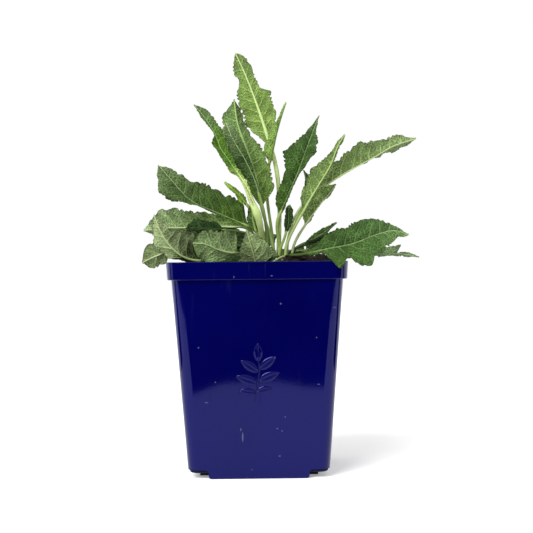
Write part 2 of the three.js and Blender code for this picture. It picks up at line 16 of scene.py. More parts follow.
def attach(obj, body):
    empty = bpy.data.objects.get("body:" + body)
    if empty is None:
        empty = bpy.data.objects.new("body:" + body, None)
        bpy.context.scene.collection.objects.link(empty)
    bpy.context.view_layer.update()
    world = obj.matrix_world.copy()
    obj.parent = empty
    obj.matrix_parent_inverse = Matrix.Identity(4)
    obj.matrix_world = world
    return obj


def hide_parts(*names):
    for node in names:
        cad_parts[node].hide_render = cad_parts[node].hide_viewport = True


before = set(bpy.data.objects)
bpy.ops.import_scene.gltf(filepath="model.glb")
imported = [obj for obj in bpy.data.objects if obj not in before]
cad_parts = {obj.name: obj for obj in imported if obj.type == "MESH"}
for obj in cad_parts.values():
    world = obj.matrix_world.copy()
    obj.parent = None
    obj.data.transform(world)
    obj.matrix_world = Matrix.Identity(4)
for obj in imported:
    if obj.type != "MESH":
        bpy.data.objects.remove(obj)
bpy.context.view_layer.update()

MM = 0.001

# ---- the pot ----
POT_HEIGHT = 170
RIM_HALF = 71
RIM_FOOT_HALF = 70.3
RIM_HEIGHT = 14
RIM_CORNER = 12
LIP_ROUND = 0.6
BODY_TOP_HALF = 67.3
BODY_FOOT_HALF = 55.5
BODY_CORNER_TOP = 11
BODY_CORNER_FOOT = 9
BODY_TOP = POT_HEIGHT - RIM_HEIGHT
WALL = 1.5
LEDGE_HEIGHT = 7
SKIRT_HALF = 39.5
SKIRT_ROUND = 3
SKIRT_FOOT_ROUND = 2.4
SIDE_SKIRT_REACH = 47
HEEL_INSET = 1.5
HEEL_FOOT = 4.4
PLINTH_HALF = 39.5
PLINTH_CORNER = 6
DRAIN_RADIUS = 4.5
DRAIN_OFFSET = 29
TAG_WIDTH = 12
TAG_HEIGHT = 10.6
TAG_DEPTH = 0.3
CORNER_STEPS = 24
SKIRT_STEPS = 8
ROUND_STEPS = 4
DRAIN_SIDES = 40
SHARP_DEGREES = 28
CLEARANCE = 0.3
# How far solids reach past the faces where they are joined or cut.
OVERLAP = 1

# ---- the sprig in relief on the pot's front ----
SPRIG_HEIGHT = 83
SPRIG_SUNK = 0.4
SPRIG_STEM = [(-3, -22), (-1, -10), (1, 4), (0, 12)]
STEM_RADIUS = 0.7
STEM_POINTS = 30
STEM_SIDES = 4
RELIEF_ROWS = 14
RELIEF_SIDES = 6
RELIEF_HEIGHT = 0.75
RELIEF_GROOVE = 0.28
RELIEF_GROOVE_WIDTH = 0.22
RELIEF_TIP = 0.05
# x, height above the sprig's middle, angle, length, width.
SPRIG_LEAVES = [
    (0.2, 9, 92, 15, 7), (0.8, 3, 38, 17, 7.5), (0.4, 1, 146, 17, 7.5), (0.2, -6, 22, 18, 8),
    (-0.6, -8, 160, 18, 8), (-1.6, -14, 12, 13, 6), (-2.2, -15, 172, 13, 6),
]

# ---- the soil and the crown ----
SOIL_LEVEL = 159
SOIL_RISE = 8
SOIL_RISE_SPREAD = 26
SOIL_CLOD = (45, -20, 25, 16)
SOIL_COLUMNS = 150
SOIL_EDGE = 2
SOIL_DIP = 2.0
SOIL_DIP_RADIUS = 16
SOIL_DIP_EDGE = 3
SOIL_MAP = 0.9
CRUMB_SIZE = 3.1
CRUMB_HEIGHT = 1.6
GRAIN_SIZE = 1.5
GRAIN_HEIGHT = 0.7
LUMP_TOP = 0.6
HEAP_LENGTH = 11
HEAP_HEIGHT = 0.5
CRUMBS_SUNK = 0.9
CHIP_MARGIN = 4
CHIP_CLEARANCE = 3
CHIP_RAISED = 0.35
CROWN_CENTRE = (16, 0)
CROWN_RADIUS = 15.6
CROWN_FOOT = 148
CROWN_TOP = 172
CROWN_TAPER = 8
CROWN_SIDES = 96
# Rings of the crown from its foot up: share of the radius, height.
CROWN_RINGS = [
    (0, CROWN_FOOT), (0.7, CROWN_FOOT), (1, CROWN_FOOT + CROWN_TAPER), (1, 160), (1, 163), (1, 165),
    (1, 166.5), (0.99, 168), (0.95, 169.2), (0.88, 170), (0.78, 170.6), (0.66, 171), (0.5, 171.4),
    (0.34, 171.7), (0.18, 171.9), (0, CROWN_TOP),
]
LUMPS_FROM = 169
LUMP_HEIGHT = 0.5
SLOT_PITCH = 4.3
SOCKET_FLOOR = 160
SOCKET_STEP = 1.6
COLLAR = 173

# ---- every leaf ----
PETIOLE_RADIUS = 1.3
PETIOLE_REACH = 0.38
TIP_HALF = 0.5
SPREAD_LENGTH = 0.12
WAVE_HEIGHT = 0.9
WAVE_RATE = 9
ROW_STEP = 0.55
COLUMN_STEP = 0.85
COLUMN_CROWDING = 1.2
SHEET_THICKNESS = 0.5
TOOTH_PITCH = 4.8
TOOTH_DEPTH = 2.7
TOOTH_SHARE = 0.36
LOBE_SHARE = 0.05
VEIN_PITCH = 9.5
VEIN_SLANT = 0.62
VEIN_CURL = 0.014
VEIN_WANDER = 0.22
PUCKER_HEIGHT = 1.25
CELL_SIZE = 2.5
CELL_HEIGHT = 0.5
RUFFLE_HEIGHT = 1.2
RUFFLE_LENGTH = 13
GROOVE_DEPTH = 0.18
RIB_HEIGHT = 0.28
TUBE_STEP = 0.8
TUBE_SIDES = 16
SHEATH_SWELL = 0.25
SHEATH_LENGTH = 9
SHEATH_EASE = (6, 14)
ROUGH_STEPS = 60

# Waves along the blade, its arch, and ruffles towards the margin.
ARCH_SHARE = 0.055
RUFFLE_STAGGER = 1.9
RUFFLE_WANDER = 0.5
RUFFLE_WANDER_RATE = 0.21
RUFFLE_FULL = 14

# Lobes and teeth of the margin. Small teeth stand between the large ones.
MARGIN_EASE = (0.01, 0.1)
MARGINS_APART = 40
LOBE_LENGTH = 15
TOOTH_GROWTH = 0.6
TOOTH_ROUND = 0.5
TOOTH_LEAST = 0.65
TOOTH_PLAY = 0.65
TOOTH_STAGGER = 0.37
TOOTH_WANDER = 0.5
TOOTH_WANDER_RATE = 0.29
SMALL_TOOTH = 0.22
SMALL_TOOTH_ROUND = 0.8
SMALL_TOOTH_SHIFT = 0.8

# Side veins, the puckers between them, the cells within those, and a slow swell.
VEIN_WANDER_LENGTH = 26
VEIN_STAGGER = 0.45
VEIN_START = 0.1
VEIN_EASE = (0.2, 4)
PUCKER_ROUND = 0.7
PUCKER_FADE = 0.6
PUCKER_FULL = 12
CELL_TOP = 0.7
CELL_EASE = (0.4, 1.5)
CELL_INSET = 0.15
CELL_PLAY = 0.7
SWELL_HEIGHT = 0.35
SWELL_LENGTH = 17
GROOVE_WIDTH = 0.8
RIB_EDGE = 0.5
RIB_FADE = 0.5

# The stalk, and the midrib that it goes on as.
MIDRIB_RADIUS = 0.42
MIDRIB_TAPER = 2.4
MIDRIB_PROUD = 0.15
CHANNEL_DEPTH = 0.24
CHANNEL_WIDTH = 0.55
CHANNEL_EASE = (8, 30)
UNEVEN_SHARE = 0.05
UNEVEN_LENGTH = 9
FOOT_EASE = (0.97, 1.12)

# The leaf's map: the gaps between its strips, the stalk's strip and the spare height.
MAP_GAP = 0.012
MAP_GIRTH = 7
MAP_SPARE = 4
MAP_SCALE = 1.02

# Factors that scatter whole numbers: of the column, the row and the seed, and the size of the sine.
SCATTER_ACROSS = (127.1, 311.7, 17.3, 43758.5453)
SCATTER_UP = (269.5, 183.3, 9.1, 24634.6345)
SCATTER_TEETH = (12.9898, 0, 78.233, 43758.5453)
GOLDEN_ANGLE = 2.39996
RIPPLE_WAVES = 5

# ---- the leaves ----
# slot: ring and step of the socket in the crown. blade: points along the midrib, base to tip.
# left, right: half widths at even steps between base and tip, seen on the upper face, tip up.
# face: where the upper face looks, from base to tip. fold: degrees that each half is raised.
# radius, rise, reach: the stalk's size, its first climb and the ease of its bend.
# under: the paler lower face is the one turned to the front. teeth: how large the margin's teeth are.
# calm: how strongly the blade is puckered and ruffled, 1 where it isn't given.
# sweep: how far the outer blade is pushed to the tip, as a share of its distance from the midrib.
LEAVES = [
    {"name": "leaf_tallest", "slot": [1, 1], "radius": 1.8, "under": True, "fold": 8,
     "blade": [[12, 6, 267], [4, 1, 292], [-3, -6, 311], [-10, -11, 328], [-16, -18, 340]],
     "left": [7.2, 9.5, 11.5, 12.9, 13.3, 13.9, 14.2, 7.7, 7.8, 7.4, 8, 7.4, 7.1, 6.8, 4.3],
     "right": [5.5, 10.5, 15.2, 14.9, 15, 15, 14.6, 14, 11, 7.7, 8.7, 8.6, 7.6, 5.3, 3.3],
     "face": [[0, 1, 0.1], [0, 1, 0.3]], "calm": 0.55},
    {"name": "leaf_tall_edge_on", "slot": [1, 2], "under": True, "fold": 25, "calm": 0.4,
     "blade": [[11, 4, 252], [14.5, 0, 267], [19, -6, 283], [25, -10, 301]],
     "left": [7.5, 8.5, 6.5, 4.5, 2.2], "right": [5, 6, 6, 4, 2],
     "face": [[-0.75, -0.6, 0.2], [-0.88, -0.35, 0.3]]},
    {"name": "leaf_tall_centre", "slot": [1, 4], "under": True, "fold": 7,
     "blade": [[4, -4, 216], [0, -4, 238], [-7, 3, 262], [-15, 11, 286], [-18, 15, 307]],
     "left": [12, 14, 13.5, 12, 8, 6.2, 5], "right": [7, 10, 13, 16, 16.5, 14.8, 10.5],
     "face": [[0.1, 1, 0.1]]},
    {"name": "leaf_tall_front", "slot": [2, 7], "radius": 1.3, "fold": 10,
     "blade": [[3, -12, 222], [-1.2, -13, 236.5], [-5.3, -13, 245.5], [-9.8, -12, 255], [-14.8, -11, 263.6],
               [-20.5, -10, 274.3], [-24.6, -8, 285]],
     "left": [2.9, 4.5, 5.9, 7.6, 10.6, 11, 10.4, 9, 7, 5.2, 4.2],
     "right": [1.3, 1.6, 2.4, 3.2, 4, 4.8, 5.2, 5.7, 6.2, 6.4, 5],
     "face": [[0.1, -1, 0.2], [0.1, -1, 0.1]]},
    {"name": "leaf_twisted", "slot": [3, 10], "radius": 1.7, "fold": 12,
     "blade": [[0, -18, 210], [-4.5, -19, 223], [-9.5, -20, 234], [-17.8, -21, 246], [-23.5, -22, 254.5],
               [-29.2, -22, 263], [-33.2, -22, 273.6], [-39.3, -22, 284.1], [-50, -23, 297.8]],
     "left": [1.7, 1.7, 1.7, 1.7, 1.8, 5.6, 5.4, 4.9, 5.2, 4.8, 6.8, 1.9, 2.4, 3.6, 3.4],
     "right": [1.7, 1.7, 1.7, 1.8, 2.4, 2.5, 4, 4.5, 5, 6.5, 7.2, 7.4, 7.2, 7.2, 6.2],
     "face": [[0.3, -0.95, 0.2], [0.3, -0.95, 0.2], [0.3, -0.93, 0.25], [0.4, -0.82, 0.42]]},
    {"name": "leaf_left_large", "slot": [3, 8], "radius": 1.2, "fold": 14, "teeth": 1.45,
     "blade": [[-7, 3, 200], [-32, 7, 211], [-55, 9, 222], [-71, 10, 239], [-82, 12, 252]],
     "left": [5, 5.5, 5, 4.5, 3.5, 2.5, 3.5, 5.8, 11.5, 18.2, 18.7, 16.7, 13.4, 9.7, 5.5],
     "right": [17, 19.5, 20.5, 20, 13, 9, 6.5],
     "face": [[0.2, -0.8, 0.6], [0.1, -0.85, 0.5]]},
    {"name": "leaf_left_long", "slot": [3, 9], "radius": 1, "under": True, "fold": 12, "teeth": 1.3,
     "blade": [[-14, -8, 199], [-35, -8, 200], [-57, -8, 199], [-75, -8, 199], [-93, -8, 197]],
     "left": [6, 10.5, 13, 15, 17, 17.5, 16.5, 9], "right": [6, 9, 12, 14, 15.5, 15, 12.5, 7],
     "face": [[0, 0.75, 0.65], [0, 0.8, 0.6]]},
    {"name": "leaf_left_dark", "slot": [2, 8], "fold": 15, "teeth": 1.3,
     "blade": [[-26, -22, 196], [-38, -25, 197], [-48, -27, 198], [-58, -29, 197]],
     "left": [9, 12, 12, 11, 8], "right": [8, 10, 10, 9, 6],
     "face": [[0, -0.5, 0.85]]},
    {"name": "leaf_left_shaded", "slot": [3, 11], "rise": 4, "fold": 12,
     "blade": [[-4, -16, 174], [-24, -17, 177], [-42, -18, 179], [-58, -20, 180], [-82, -22, 179.5]],
     "left": [14.5, 16.5, 17, 17, 16, 14.5, 10.5], "right": [15, 15.5, 16, 16.5, 17, 16.5, 12],
     "face": [[0, -0.75, 0.65]]},
    {"name": "leaf_left_pale", "slot": [3, 13], "rise": 4, "under": True, "fold": 12,
     "blade": [[-42, -34, 171], [-54, -39, 173], [-62, -42, 177], [-70, -44, 185], [-76, -46, 195],
               [-81, -47, 208]],
     "left": [10, 16, 20, 20, 15, 9, 6], "right": [5, 6, 8, 12, 14, 12.5, 7],
     "face": [[0.3, 0.85, 0.4], [0.3, 0.9, 0.3]]},
    {"name": "leaf_left_drooping", "slot": [3, 12], "rise": 5, "under": True, "fold": 12,
     "blade": [[-72, -31, 180], [-77, -32, 177], [-84, -33, 174], [-92, -34, 170]],
     "left": [8, 12, 13, 12, 8], "right": [5, 8, 9, 8.5, 7],
     "face": [[0.2, 0.95, -0.1]]},
    {"name": "leaf_front_left", "slot": [3, 14], "radius": 1.1, "rise": 3, "under": True, "fold": 10,
     "blade": [[-16, -44, 177], [-24, -48, 178], [-31, -51, 180], [-40, -54, 184], [-50, -57, 185]],
     "left": [15, 17, 17.5, 17, 16, 15.3, 14.6, 13.8, 12.6, 10.8, 8],
     "right": [4, 7, 9, 11, 12.3, 13.5, 14.6, 15.3, 15, 13.4, 9.8], "calm": 0.25,
     "face": [[0.1, 0.95, 0.22]]},
    {"name": "leaf_front", "slot": [3, 15], "radius": 0.9, "rise": 5, "reach": 6, "under": True, "fold": 2,
     "blade": [[2, -42, 165], [0, -46, 167], [-4, -53, 180], [-8, -58, 195]],
     "left": [14, 18.5, 18, 15, 9.5], "right": [10, 12.5, 13, 10.5, 5.5], "calm": 0.4,
     "face": [[0, 0.9, 0.4]]},
    {"name": "leaf_small_bright", "slot": [2, 5], "fold": 15,
     "blade": [[-8, -2, 217.5], [-13, -3, 223.5], [-19, -5, 229.5], [-26.3, -6, 236]],
     "left": [4.8, 5, 4.6, 3.4], "right": [3, 3.4, 3.4, 2.6],
     "face": [[0.3, -0.8, 0.5]]},
    {"name": "leaf_small_round", "slot": [1, 3], "under": True, "fold": 8,
     "blade": [[0, -3, 194], [-3, -4, 205], [-4, -4, 218]],
     "left": [3.5, 4.6, 4.3, 3], "right": [5, 6, 6, 4.5],
     "face": [[0.2, 0.9, 0.2]]},
    {"name": "leaf_bud", "slot": [2, 4], "radius": 1, "fold": 20,
     "blade": [[-5, 10, 192], [-6, 10, 197.5], [-7.5, 10, 203.5]],
     "left": [2.6, 3.2, 2.4], "right": [2.6, 3.2, 2.4],
     "face": [[0, -1, 0.2]]},
    {"name": "leaf_right_dark", "slot": [1, 0], "fold": 22,
     "blade": [[19, 1, 209], [27, 1, 227], [35, 2, 245], [43, 4, 266], [53, 8, 292]],
     "left": [9, 9.5, 10, 12, 17.5, 11.8, 5], "right": [4, 3, 1.8, 3.2, 8, 12, 4.5],
     "face": [[-0.5, -0.85, 0.1], [-0.3, -0.9, 0.1]]},
    {"name": "leaf_right_forked", "slot": [2, 11], "radius": 1.1, "under": True, "fold": 12,
     "blade": [[36, -6, 207], [42, -7, 218], [50, -7, 231], [61, -8, 249], [67, -9, 264], [73, -10, 274]],
     "left": [7, 7.5, 7.5, 5.5, 3, 2.5, 2.2], "right": [2.6, 9, 9.9, 12.5, 8, 3.3, 2.4],
     "face": [[-0.2, 0.95, 0.2]]},
    {"name": "leaf_right_long", "slot": [2, 0], "radius": 1.15, "under": True, "fold": 30,
     "blade": [[50, 3, 228], [61, 4, 236], [78, 5, 246], [97, 7, 256], [115, 7, 266], [134, 8, 272]],
     "left": [7, 9, 9, 11, 14.5, 15, 10], "right": [8.5, 12, 14.3, 19, 15.8, 9, 7],
     "face": [[-0.4, 0.5, 0.77], [-0.4, 0.5, 0.77], [-0.35, 0.6, 0.7], [-0.2, 0.85, 0.45]]},
    {"name": "leaf_right_short", "slot": [3, 0], "radius": 1.05, "under": True, "fold": 22,
     "blade": [[40, 4, 200], [46, 8, 209], [53, 12, 218], [60, 14, 226], [67, 16, 235]],
     "left": [4.2, 4.5, 4, 4.2, 3.4], "right": [8, 10, 11, 11, 8],
     "face": [[-0.5, 0.6, 0.3]]},
    {"name": "leaf_right_behind", "slot": [2, 1], "fold": 15,
     "blade": [[39, 8, 219], [41.5, 9, 228.6], [42.3, 9, 237], [39.8, 10, 246.8]],
     "left": [2.5, 2.6, 2.2, 1.2], "right": [4, 4.5, 4, 3],
     "face": [[0, -1, 0.1]]},
    {"name": "leaf_small_folded", "slot": [1, 5], "radius": 1.1, "fold": 30,
     "blade": [[24, -5, 194], [26, -6, 203], [26, -6, 211], [27, -7, 217]],
     "left": [4, 5, 4.8, 3.8], "right": [3.3, 4.2, 4.8, 4.2],
     "face": [[0.2, -0.9, 0.2]]},
    {"name": "leaf_right_narrow", "slot": [3, 1], "radius": 1.1, "fold": 20,
     "blade": [[39, 2, 185], [50.7, 2, 190.5], [59.8, 2, 196.4], [66.5, 2, 202.2]],
     "left": [3.5, 4.5, 4.5, 3.4], "right": [4, 5, 5, 3.6],
     "face": [[-0.45, -0.6, 0.65]]},
    {"name": "leaf_right_narrow_back", "slot": [3, 2], "radius": 1.1, "fold": 15,
     "blade": [[43, 8, 185], [51, 9, 188], [60, 11, 191], [74, 12, 197]],
     "left": [5, 6, 6, 4], "right": [8, 9, 9, 7],
     "face": [[-0.3, -0.4, 0.85]]},
    {"name": "leaf_right_low", "slot": [3, 16], "rise": 4, "fold": 6,
     "blade": [[40, -50, 176], [53, -64, 179], [74, -69, 183], [93, -66, 190], [107, -62, 193],
               [119, -55, 190]],
     "left": [7, 12, 16, 16.3, 16, 12, 5.6, 1.6],
     "right": [3, 4, 3, 4, 12, 21, 13.5, 21, 24.5, 19, 17, 15.5, 14.4, 11.6, 9.6, 7.6, 5, 4, 3],
     "face": [[0, -0.85, 0.5], [-0.1, -0.9, 0.4]]},
    {"name": "leaf_right_jagged", "slot": [3, 17], "rise": 4, "fold": 10, "sweep": 0.77,
     "blade": [[85, -2, 179], [98, 0, 177], [111, 2, 176], [123, 4, 175], [135, 6, 173]],
     "left": [4.2, 5.6, 7, 7.7, 8.4, 8.6, 9.2, 9.8, 10.1, 10.6, 11, 1.6, 1.9, 2.2, 2.4, 2.4, 2.2, 1.7, 1.2],
     "right": [4.2, 5.6, 7, 7.7, 7.7, 8.4, 10.5, 12.4, 5, 5.3, 5.3, 4.9, 4.2, 3.8, 3.2, 2.5, 2.1, 1.5, 1],
     "face": [[0, -0.55, 0.85]]},
    {"name": "leaf_back_left", "slot": [3, 6], "fold": 14,
     "blade": [[-10, 30, 188], [-24, 44, 194], [-38, 56, 196], [-50, 64, 192]],
     "left": [10, 14, 14, 11, 7], "right": [10, 14, 14, 11, 7],
     "face": [[0, 0, 1]]},
    {"name": "leaf_back", "slot": [3, 5], "fold": 14,
     "blade": [[8, 38, 182], [5, 54, 188], [3, 70, 190], [2, 86, 186]],
     "left": [10, 14, 15, 12, 7], "right": [10, 14, 15, 12, 7],
     "face": [[0, 0, 1]]},
    {"name": "leaf_back_right", "slot": [3, 3], "fold": 14,
     "blade": [[42, 28, 180], [56, 40, 186], [70, 50, 188], [84, 58, 184]],
     "left": [10, 13, 14, 11, 7], "right": [10, 13, 14, 11, 7],
     "face": [[0, 0, 1]]},
    {"name": "leaf_back_low_left", "slot": [3, 7], "rise": 6, "fold": 14,
     "blade": [[-28, 24, 180], [-44, 33, 184], [-58, 41, 184], [-72, 48, 179]],
     "left": [10, 13, 13, 10, 6], "right": [10, 13, 13, 10, 6],
     "face": [[0, 0, 1]]},
    {"name": "leaf_back_low", "slot": [3, 4], "rise": 5, "fold": 12,
     "blade": [[25, 42, 174], [29, 58, 178], [32, 72, 178], [34, 84, 174]],
     "left": [9, 12, 12, 9, 6], "right": [9, 12, 12, 9, 6],
     "face": [[0, 0, 1]]},
]

# Colours of the face turned to the front, from the leaf's base to its tip, as sRGB levels of 255. They hold
# painted light and shade: a leaf, or a part of one, that lies in shade is given darker colours, and one lit
# through a lighter, yellower green. painted_light_halves: painted light and shade, how much lighter or
# darker the left and right halves are made beside each other as they turn to or from the light. stem: how
# much stouter the stalk grows towards the blade. rib: how stout the midrib is. stalk: the colour of stalk
# and midrib. foot: the stalk's colour at the crown, where it differs. other: the colour of the face turned
# away.
FINISHES = {
    "leaf_tallest": {"skin": [(136, 166, 84), (130, 162, 78), (126, 156, 80), (130, 158, 90)],
                     "stalk": (196, 218, 142)},
    "leaf_tall_edge_on": {"skin": [(122, 152, 74)], "other": (122, 154, 72)},
    "leaf_tall_centre": {"skin": [(82, 116, 38), (100, 132, 58), (106, 136, 76), (80, 104, 57)],
                         "painted_light_halves": (0.9, 1.35), "rib": 1.7, "stalk": (142, 170, 100)},
    "leaf_tall_front": {"skin": [(70, 96, 44), (52, 78, 30), (52, 78, 31), (84, 106, 61), (116, 138, 92)],
                        "stalk": (120, 142, 76)},
    "leaf_twisted": {"skin": [(192, 206, 146), (188, 204, 138), (182, 200, 124), (174, 194, 112),
                              (146, 176, 84), (74, 112, 27), (70, 108, 24), (74, 110, 26), (78, 114, 28),
                              (82, 116, 36), (90, 120, 60), (94, 122, 68), (88, 114, 62)],
                     "stem": 1.9, "rib": 0.8, "stalk": (184, 204, 130)},
    "leaf_left_large": {"skin": [(68, 100, 26), (62, 90, 32), (84, 108, 58), (110, 131, 88)],
                        "foot": (118, 136, 66)},
    "leaf_left_long": {"skin": [(72, 100, 42), (102, 128, 70), (127, 151, 101), (140, 161, 119)],
                       "painted_light_halves": (1.45, 1.3), "rib": 1.4, "stalk": (176, 190, 140), "foot": (84, 106, 46)},
    "leaf_left_dark": {"skin": [(24, 54, 6)], "foot": (70, 92, 36)},
    "leaf_left_shaded": {"skin": [(38, 60, 20)], "foot": (60, 82, 30)},
    "leaf_left_pale": {"skin": [(48, 66, 30), (76, 92, 52), (132, 150, 104), (150, 167, 118),
                                (158, 174, 126)],
                       "painted_light_halves": (0.58, 1.05), "stalk": (166, 182, 126), "foot": (60, 78, 34)},
    "leaf_left_drooping": {"skin": [(108, 124, 82)], "stalk": (178, 192, 144), "foot": (60, 78, 34)},
    "leaf_front_left": {"skin": [(117, 142, 90), (125, 150, 98), (115, 140, 88)], "painted_light_halves": (0.8, 1.7),
                        "rib": 0.9, "stalk": (160, 180, 122), "foot": (78, 98, 40)},
    "leaf_front": {"skin": [(112, 131, 86), (112, 130, 86)], "painted_light_halves": (1.6, 1.05), "rib": 0.8,
                   "stalk": (168, 184, 128)},
    "leaf_small_bright": {"skin": [(120, 156, 52)]},
    "leaf_small_round": {"skin": [(68, 100, 43)]},
    "leaf_bud": {"skin": [(70, 100, 40)]},
    "leaf_right_dark": {"skin": [(66, 96, 30), (57, 88, 29), (60, 91, 35), (76, 104, 59)]},
    "leaf_right_forked": {"skin": [(110, 137, 73)], "stalk": (160, 182, 112)},
    "leaf_right_long": {"skin": [(108, 134, 72), (112, 138, 77), (134, 155, 104)], "stalk": (168, 184, 128)},
    "leaf_right_short": {"skin": [(112, 139, 74)], "stalk": (168, 184, 128)},
    "leaf_right_behind": {"skin": [(76, 104, 46)]},
    "leaf_small_folded": {"skin": [(38, 67, 16)]},
    "leaf_right_narrow": {"skin": [(48, 74, 26)], "stalk": (72, 92, 48)},
    "leaf_right_narrow_back": {"skin": [(50, 76, 26)], "stalk": (72, 92, 48)},
    "leaf_right_low": {"skin": [(60, 90, 35), (52, 80, 28), (60, 90, 38), (84, 114, 62), (110, 138, 86)],
                       "painted_light_halves": (1.0, 1.25), "stalk": (84, 110, 54), "foot": (66, 90, 34)},
    "leaf_right_jagged": {"skin": [(92, 115, 72), (104, 124, 85)], "foot": (66, 86, 36)},
}
UPPER_SKIN = (70, 98, 43)
UNDER_SKIN = (120, 144, 90)
STALK_SKIN = (142, 166, 86)
BACK_SKIN = (70, 98, 44)
LIGHT_SHARE = 1.25
HALVES_EASE = 0.15
MOTTLE = 0.07
MOTTLE_LENGTH = 14

# ---- the pot's plastic ----
PLASTIC_GLOSS = (0.36, 0.38, 1.0, 1.0)
# The recess under the pot's corners, painted near black as shade, in metres: inside this half side and below
# this height.
RECESS_HALF = 0.0547
RECESS_TOP = 0.0071
# The specks show on the front only, where y is below this, in metres.
FRONT_FROM = -0.05
# Specks and short scratches on the pot's front: across, up, half width, half height.
SPECKS = [
    (-46.2, 103.5, 0.7, 0.7), (-33.4, 76.4, 0.6, 0.6), (18.0, 137.2, 0.8, 0.8), (11.1, 158.9, 0.9, 0.6),
    (-18.0, 158.2, 0.5, 0.9), (45.6, 110.6, 0.6, 0.6), (59.8, 133.8, 1.1, 0.5), (20.7, 48.6, 0.6, 0.6),
    (18.2, 37.6, 0.6, 0.6), (-5.7, 7.2, 0.5, 0.5), (-12.6, 33.0, 0.7, 4.2), (14.5, 39.5, 0.9, 0.5),
    (16.2, 17.8, 0.9, 0.6), (-40.5, 60.5, 1.6, 0.4), (-14.0, 39.0, 0.5, 1.4), (47.0, 74.0, 1.2, 0.4),
]

# ---- the stage, the light and the camera, in metres and radians ----
WORLD_LIGHT = 0.72
# The floor's painted glow, which lightens the shadows cast on it.
FLOOR_GLOW = 0.28
FLOOR_REACH = 6
CARD_LEVEL = 0.002
SUN_PLACE = (-0.75, -1.15, 1.1)
SUN_SOFTNESS = 34
SUN_STRENGTH = 3.4
CAMERA_PLACE = (0, -1.0, 0.1647)
CAMERA_PITCH = -0.0014757
CAMERA_ROLL = -0.0098366
CAMERA_TURN = -0.0077505
CAMERA_LENS = 81.477
SENSOR_WIDTH = 36
# Outlines of the dark cards, seen from above: the wide one at the front and the slim one of the other sides.
FRONT_CARD = [(-2.2, -3.4), (2.2, -3.4), (1.8, -0.8), (1.2, -0.5), (0.59, -0.57), (0.28, -0.61),
              (0.13, -0.43), (0.078, -0.325), (0.045, -0.34), (0.02, -0.362), (-0.005, -0.368),
              (-0.035, -0.35), (-0.06, -0.318), (-0.078, -0.302), (-0.13, -0.43), (-0.26, -0.58),
              (-0.6, -0.5), (-1.15, -0.36), (-1.8, -0.8)]
SLIM_CARD = [(-0.12, -3.4), (0.12, -3.4), (0.12, -0.46), (-0.12, -0.46)]


# ---- small sums ----
def linear(colour):
    """An sRGB colour of 255 levels as the linear reflectance that gives it under this scene's light."""
    levels = np.array(colour, float) / 255
    low = levels / 12.92
    high = ((levels + 0.055) / 1.055) ** 2.4
    return np.where(levels <= 0.04045, low, high) / LIGHT_SHARE


def smooth(value, low, high):
    """0 below low, 1 above high, eased between."""
    share = np.clip((value - low) / (high - low), 0, 1)
    return share * share * (3 - 2 * share)


def unit(rows):
    """Vectors of length one."""
    return rows / np.linalg.norm(rows, axis=-1, keepdims=True)


def blend_rows(rows, share):
    """Straight blends along a list of numbers or of vectors, at shares from 0 to 1."""
    rows = np.array(rows, float)
    if len(rows) == 1:
        return np.repeat(rows, len(share), axis=0)
    at = share * (len(rows) - 1)
    low = np.minimum(at.astype(int), len(rows) - 2)
    weight = at - low
    if rows.ndim == 2:
        weight = weight[:, None]
    return rows[low] * (1 - weight) + rows[low + 1] * weight


def ripple(x, y, length, seed):
    """A smooth unevenness about zero, with humps of about the given length."""
    total = 0
    for k in range(RIPPLE_WAVES):
        turn = seed * 1.7 + k * GOLDEN_ANGLE
        wave = 2 * math.pi / length * (0.7 + 0.17 * k)
        total = total + np.sin(wave * (x * math.cos(turn) + y * math.sin(turn)) + seed * 3.1 + k * 1.3)
    return total / 3


def scattered(column, row, seed, factors):
    """A share from 0 to 1 that looks random, for each pair of whole numbers."""
    for_column, for_row, for_seed, strength = factors
    mixed = np.sin(column * for_column + row * for_row + seed * for_seed) * strength
    return mixed - np.floor(mixed)


def cells(x, y, size, seed):
    """Distance from the borders of scattered cells, in shares of a cell: 0 on a border."""
    column = np.floor(x / size)
    row = np.floor(y / size)
    nearest = np.full(x.shape, 9.0)
    second = np.full(x.shape, 9.0)
    for i in (-1, 0, 1):
        for j in (-1, 0, 1):
            cx = column + i
            cy = row + j
            px = cx + CELL_INSET + CELL_PLAY * scattered(cx, cy, seed, SCATTER_ACROSS)
            py = cy + CELL_INSET + CELL_PLAY * scattered(cx, cy, seed, SCATTER_UP)
            away = np.hypot(x / size - px, y / size - py)
            second = np.minimum(second, np.maximum(away, nearest))
            nearest = np.minimum(nearest, away)
    return second - nearest


# ---- curves ----
def curve_points(points, shares):
    """Points on the smooth curve through the given ones, centripetal Catmull-Rom."""
    knots = np.array(points, float)
    last = len(knots) - 1
    at = np.clip(shares, 0, 1) * last
    low = np.minimum(at.astype(int), last - 1)
    w = (at - low)[:, None]
    padded = np.vstack([2 * knots[0] - knots[1], knots, 2 * knots[last] - knots[last - 1]])
    p0, p1, p2, p3 = (padded[low + k] for k in range(4))
    d0, d1, d2 = (np.linalg.norm(b - a, axis=1)[:, None] ** 0.5 for a, b in ((p0, p1), (p1, p2), (p2, p3)))
    t1 = ((p1 - p0) / d0 - (p2 - p0) / (d0 + d1) + (p2 - p1) / d1) * d1
    t2 = ((p2 - p1) / d1 - (p3 - p1) / (d1 + d2) + (p3 - p2) / d2) * d1
    return (p1 + t1 * w + (-3 * p1 + 3 * p2 - 2 * t1 - t2) * w ** 2
            + (2 * p1 - 2 * p2 + t1 + t2) * w ** 3)


def bezier_points(corners, shares):
    """Points on a cubic Bezier curve."""
    a, b, c, d = (np.array(corner, float) for corner in corners)
    u = np.clip(shares, 0, 1)[:, None]
    return (1 - u) ** 3 * a + 3 * (1 - u) ** 2 * u * b + 3 * (1 - u) * u ** 2 * c + u ** 3 * d


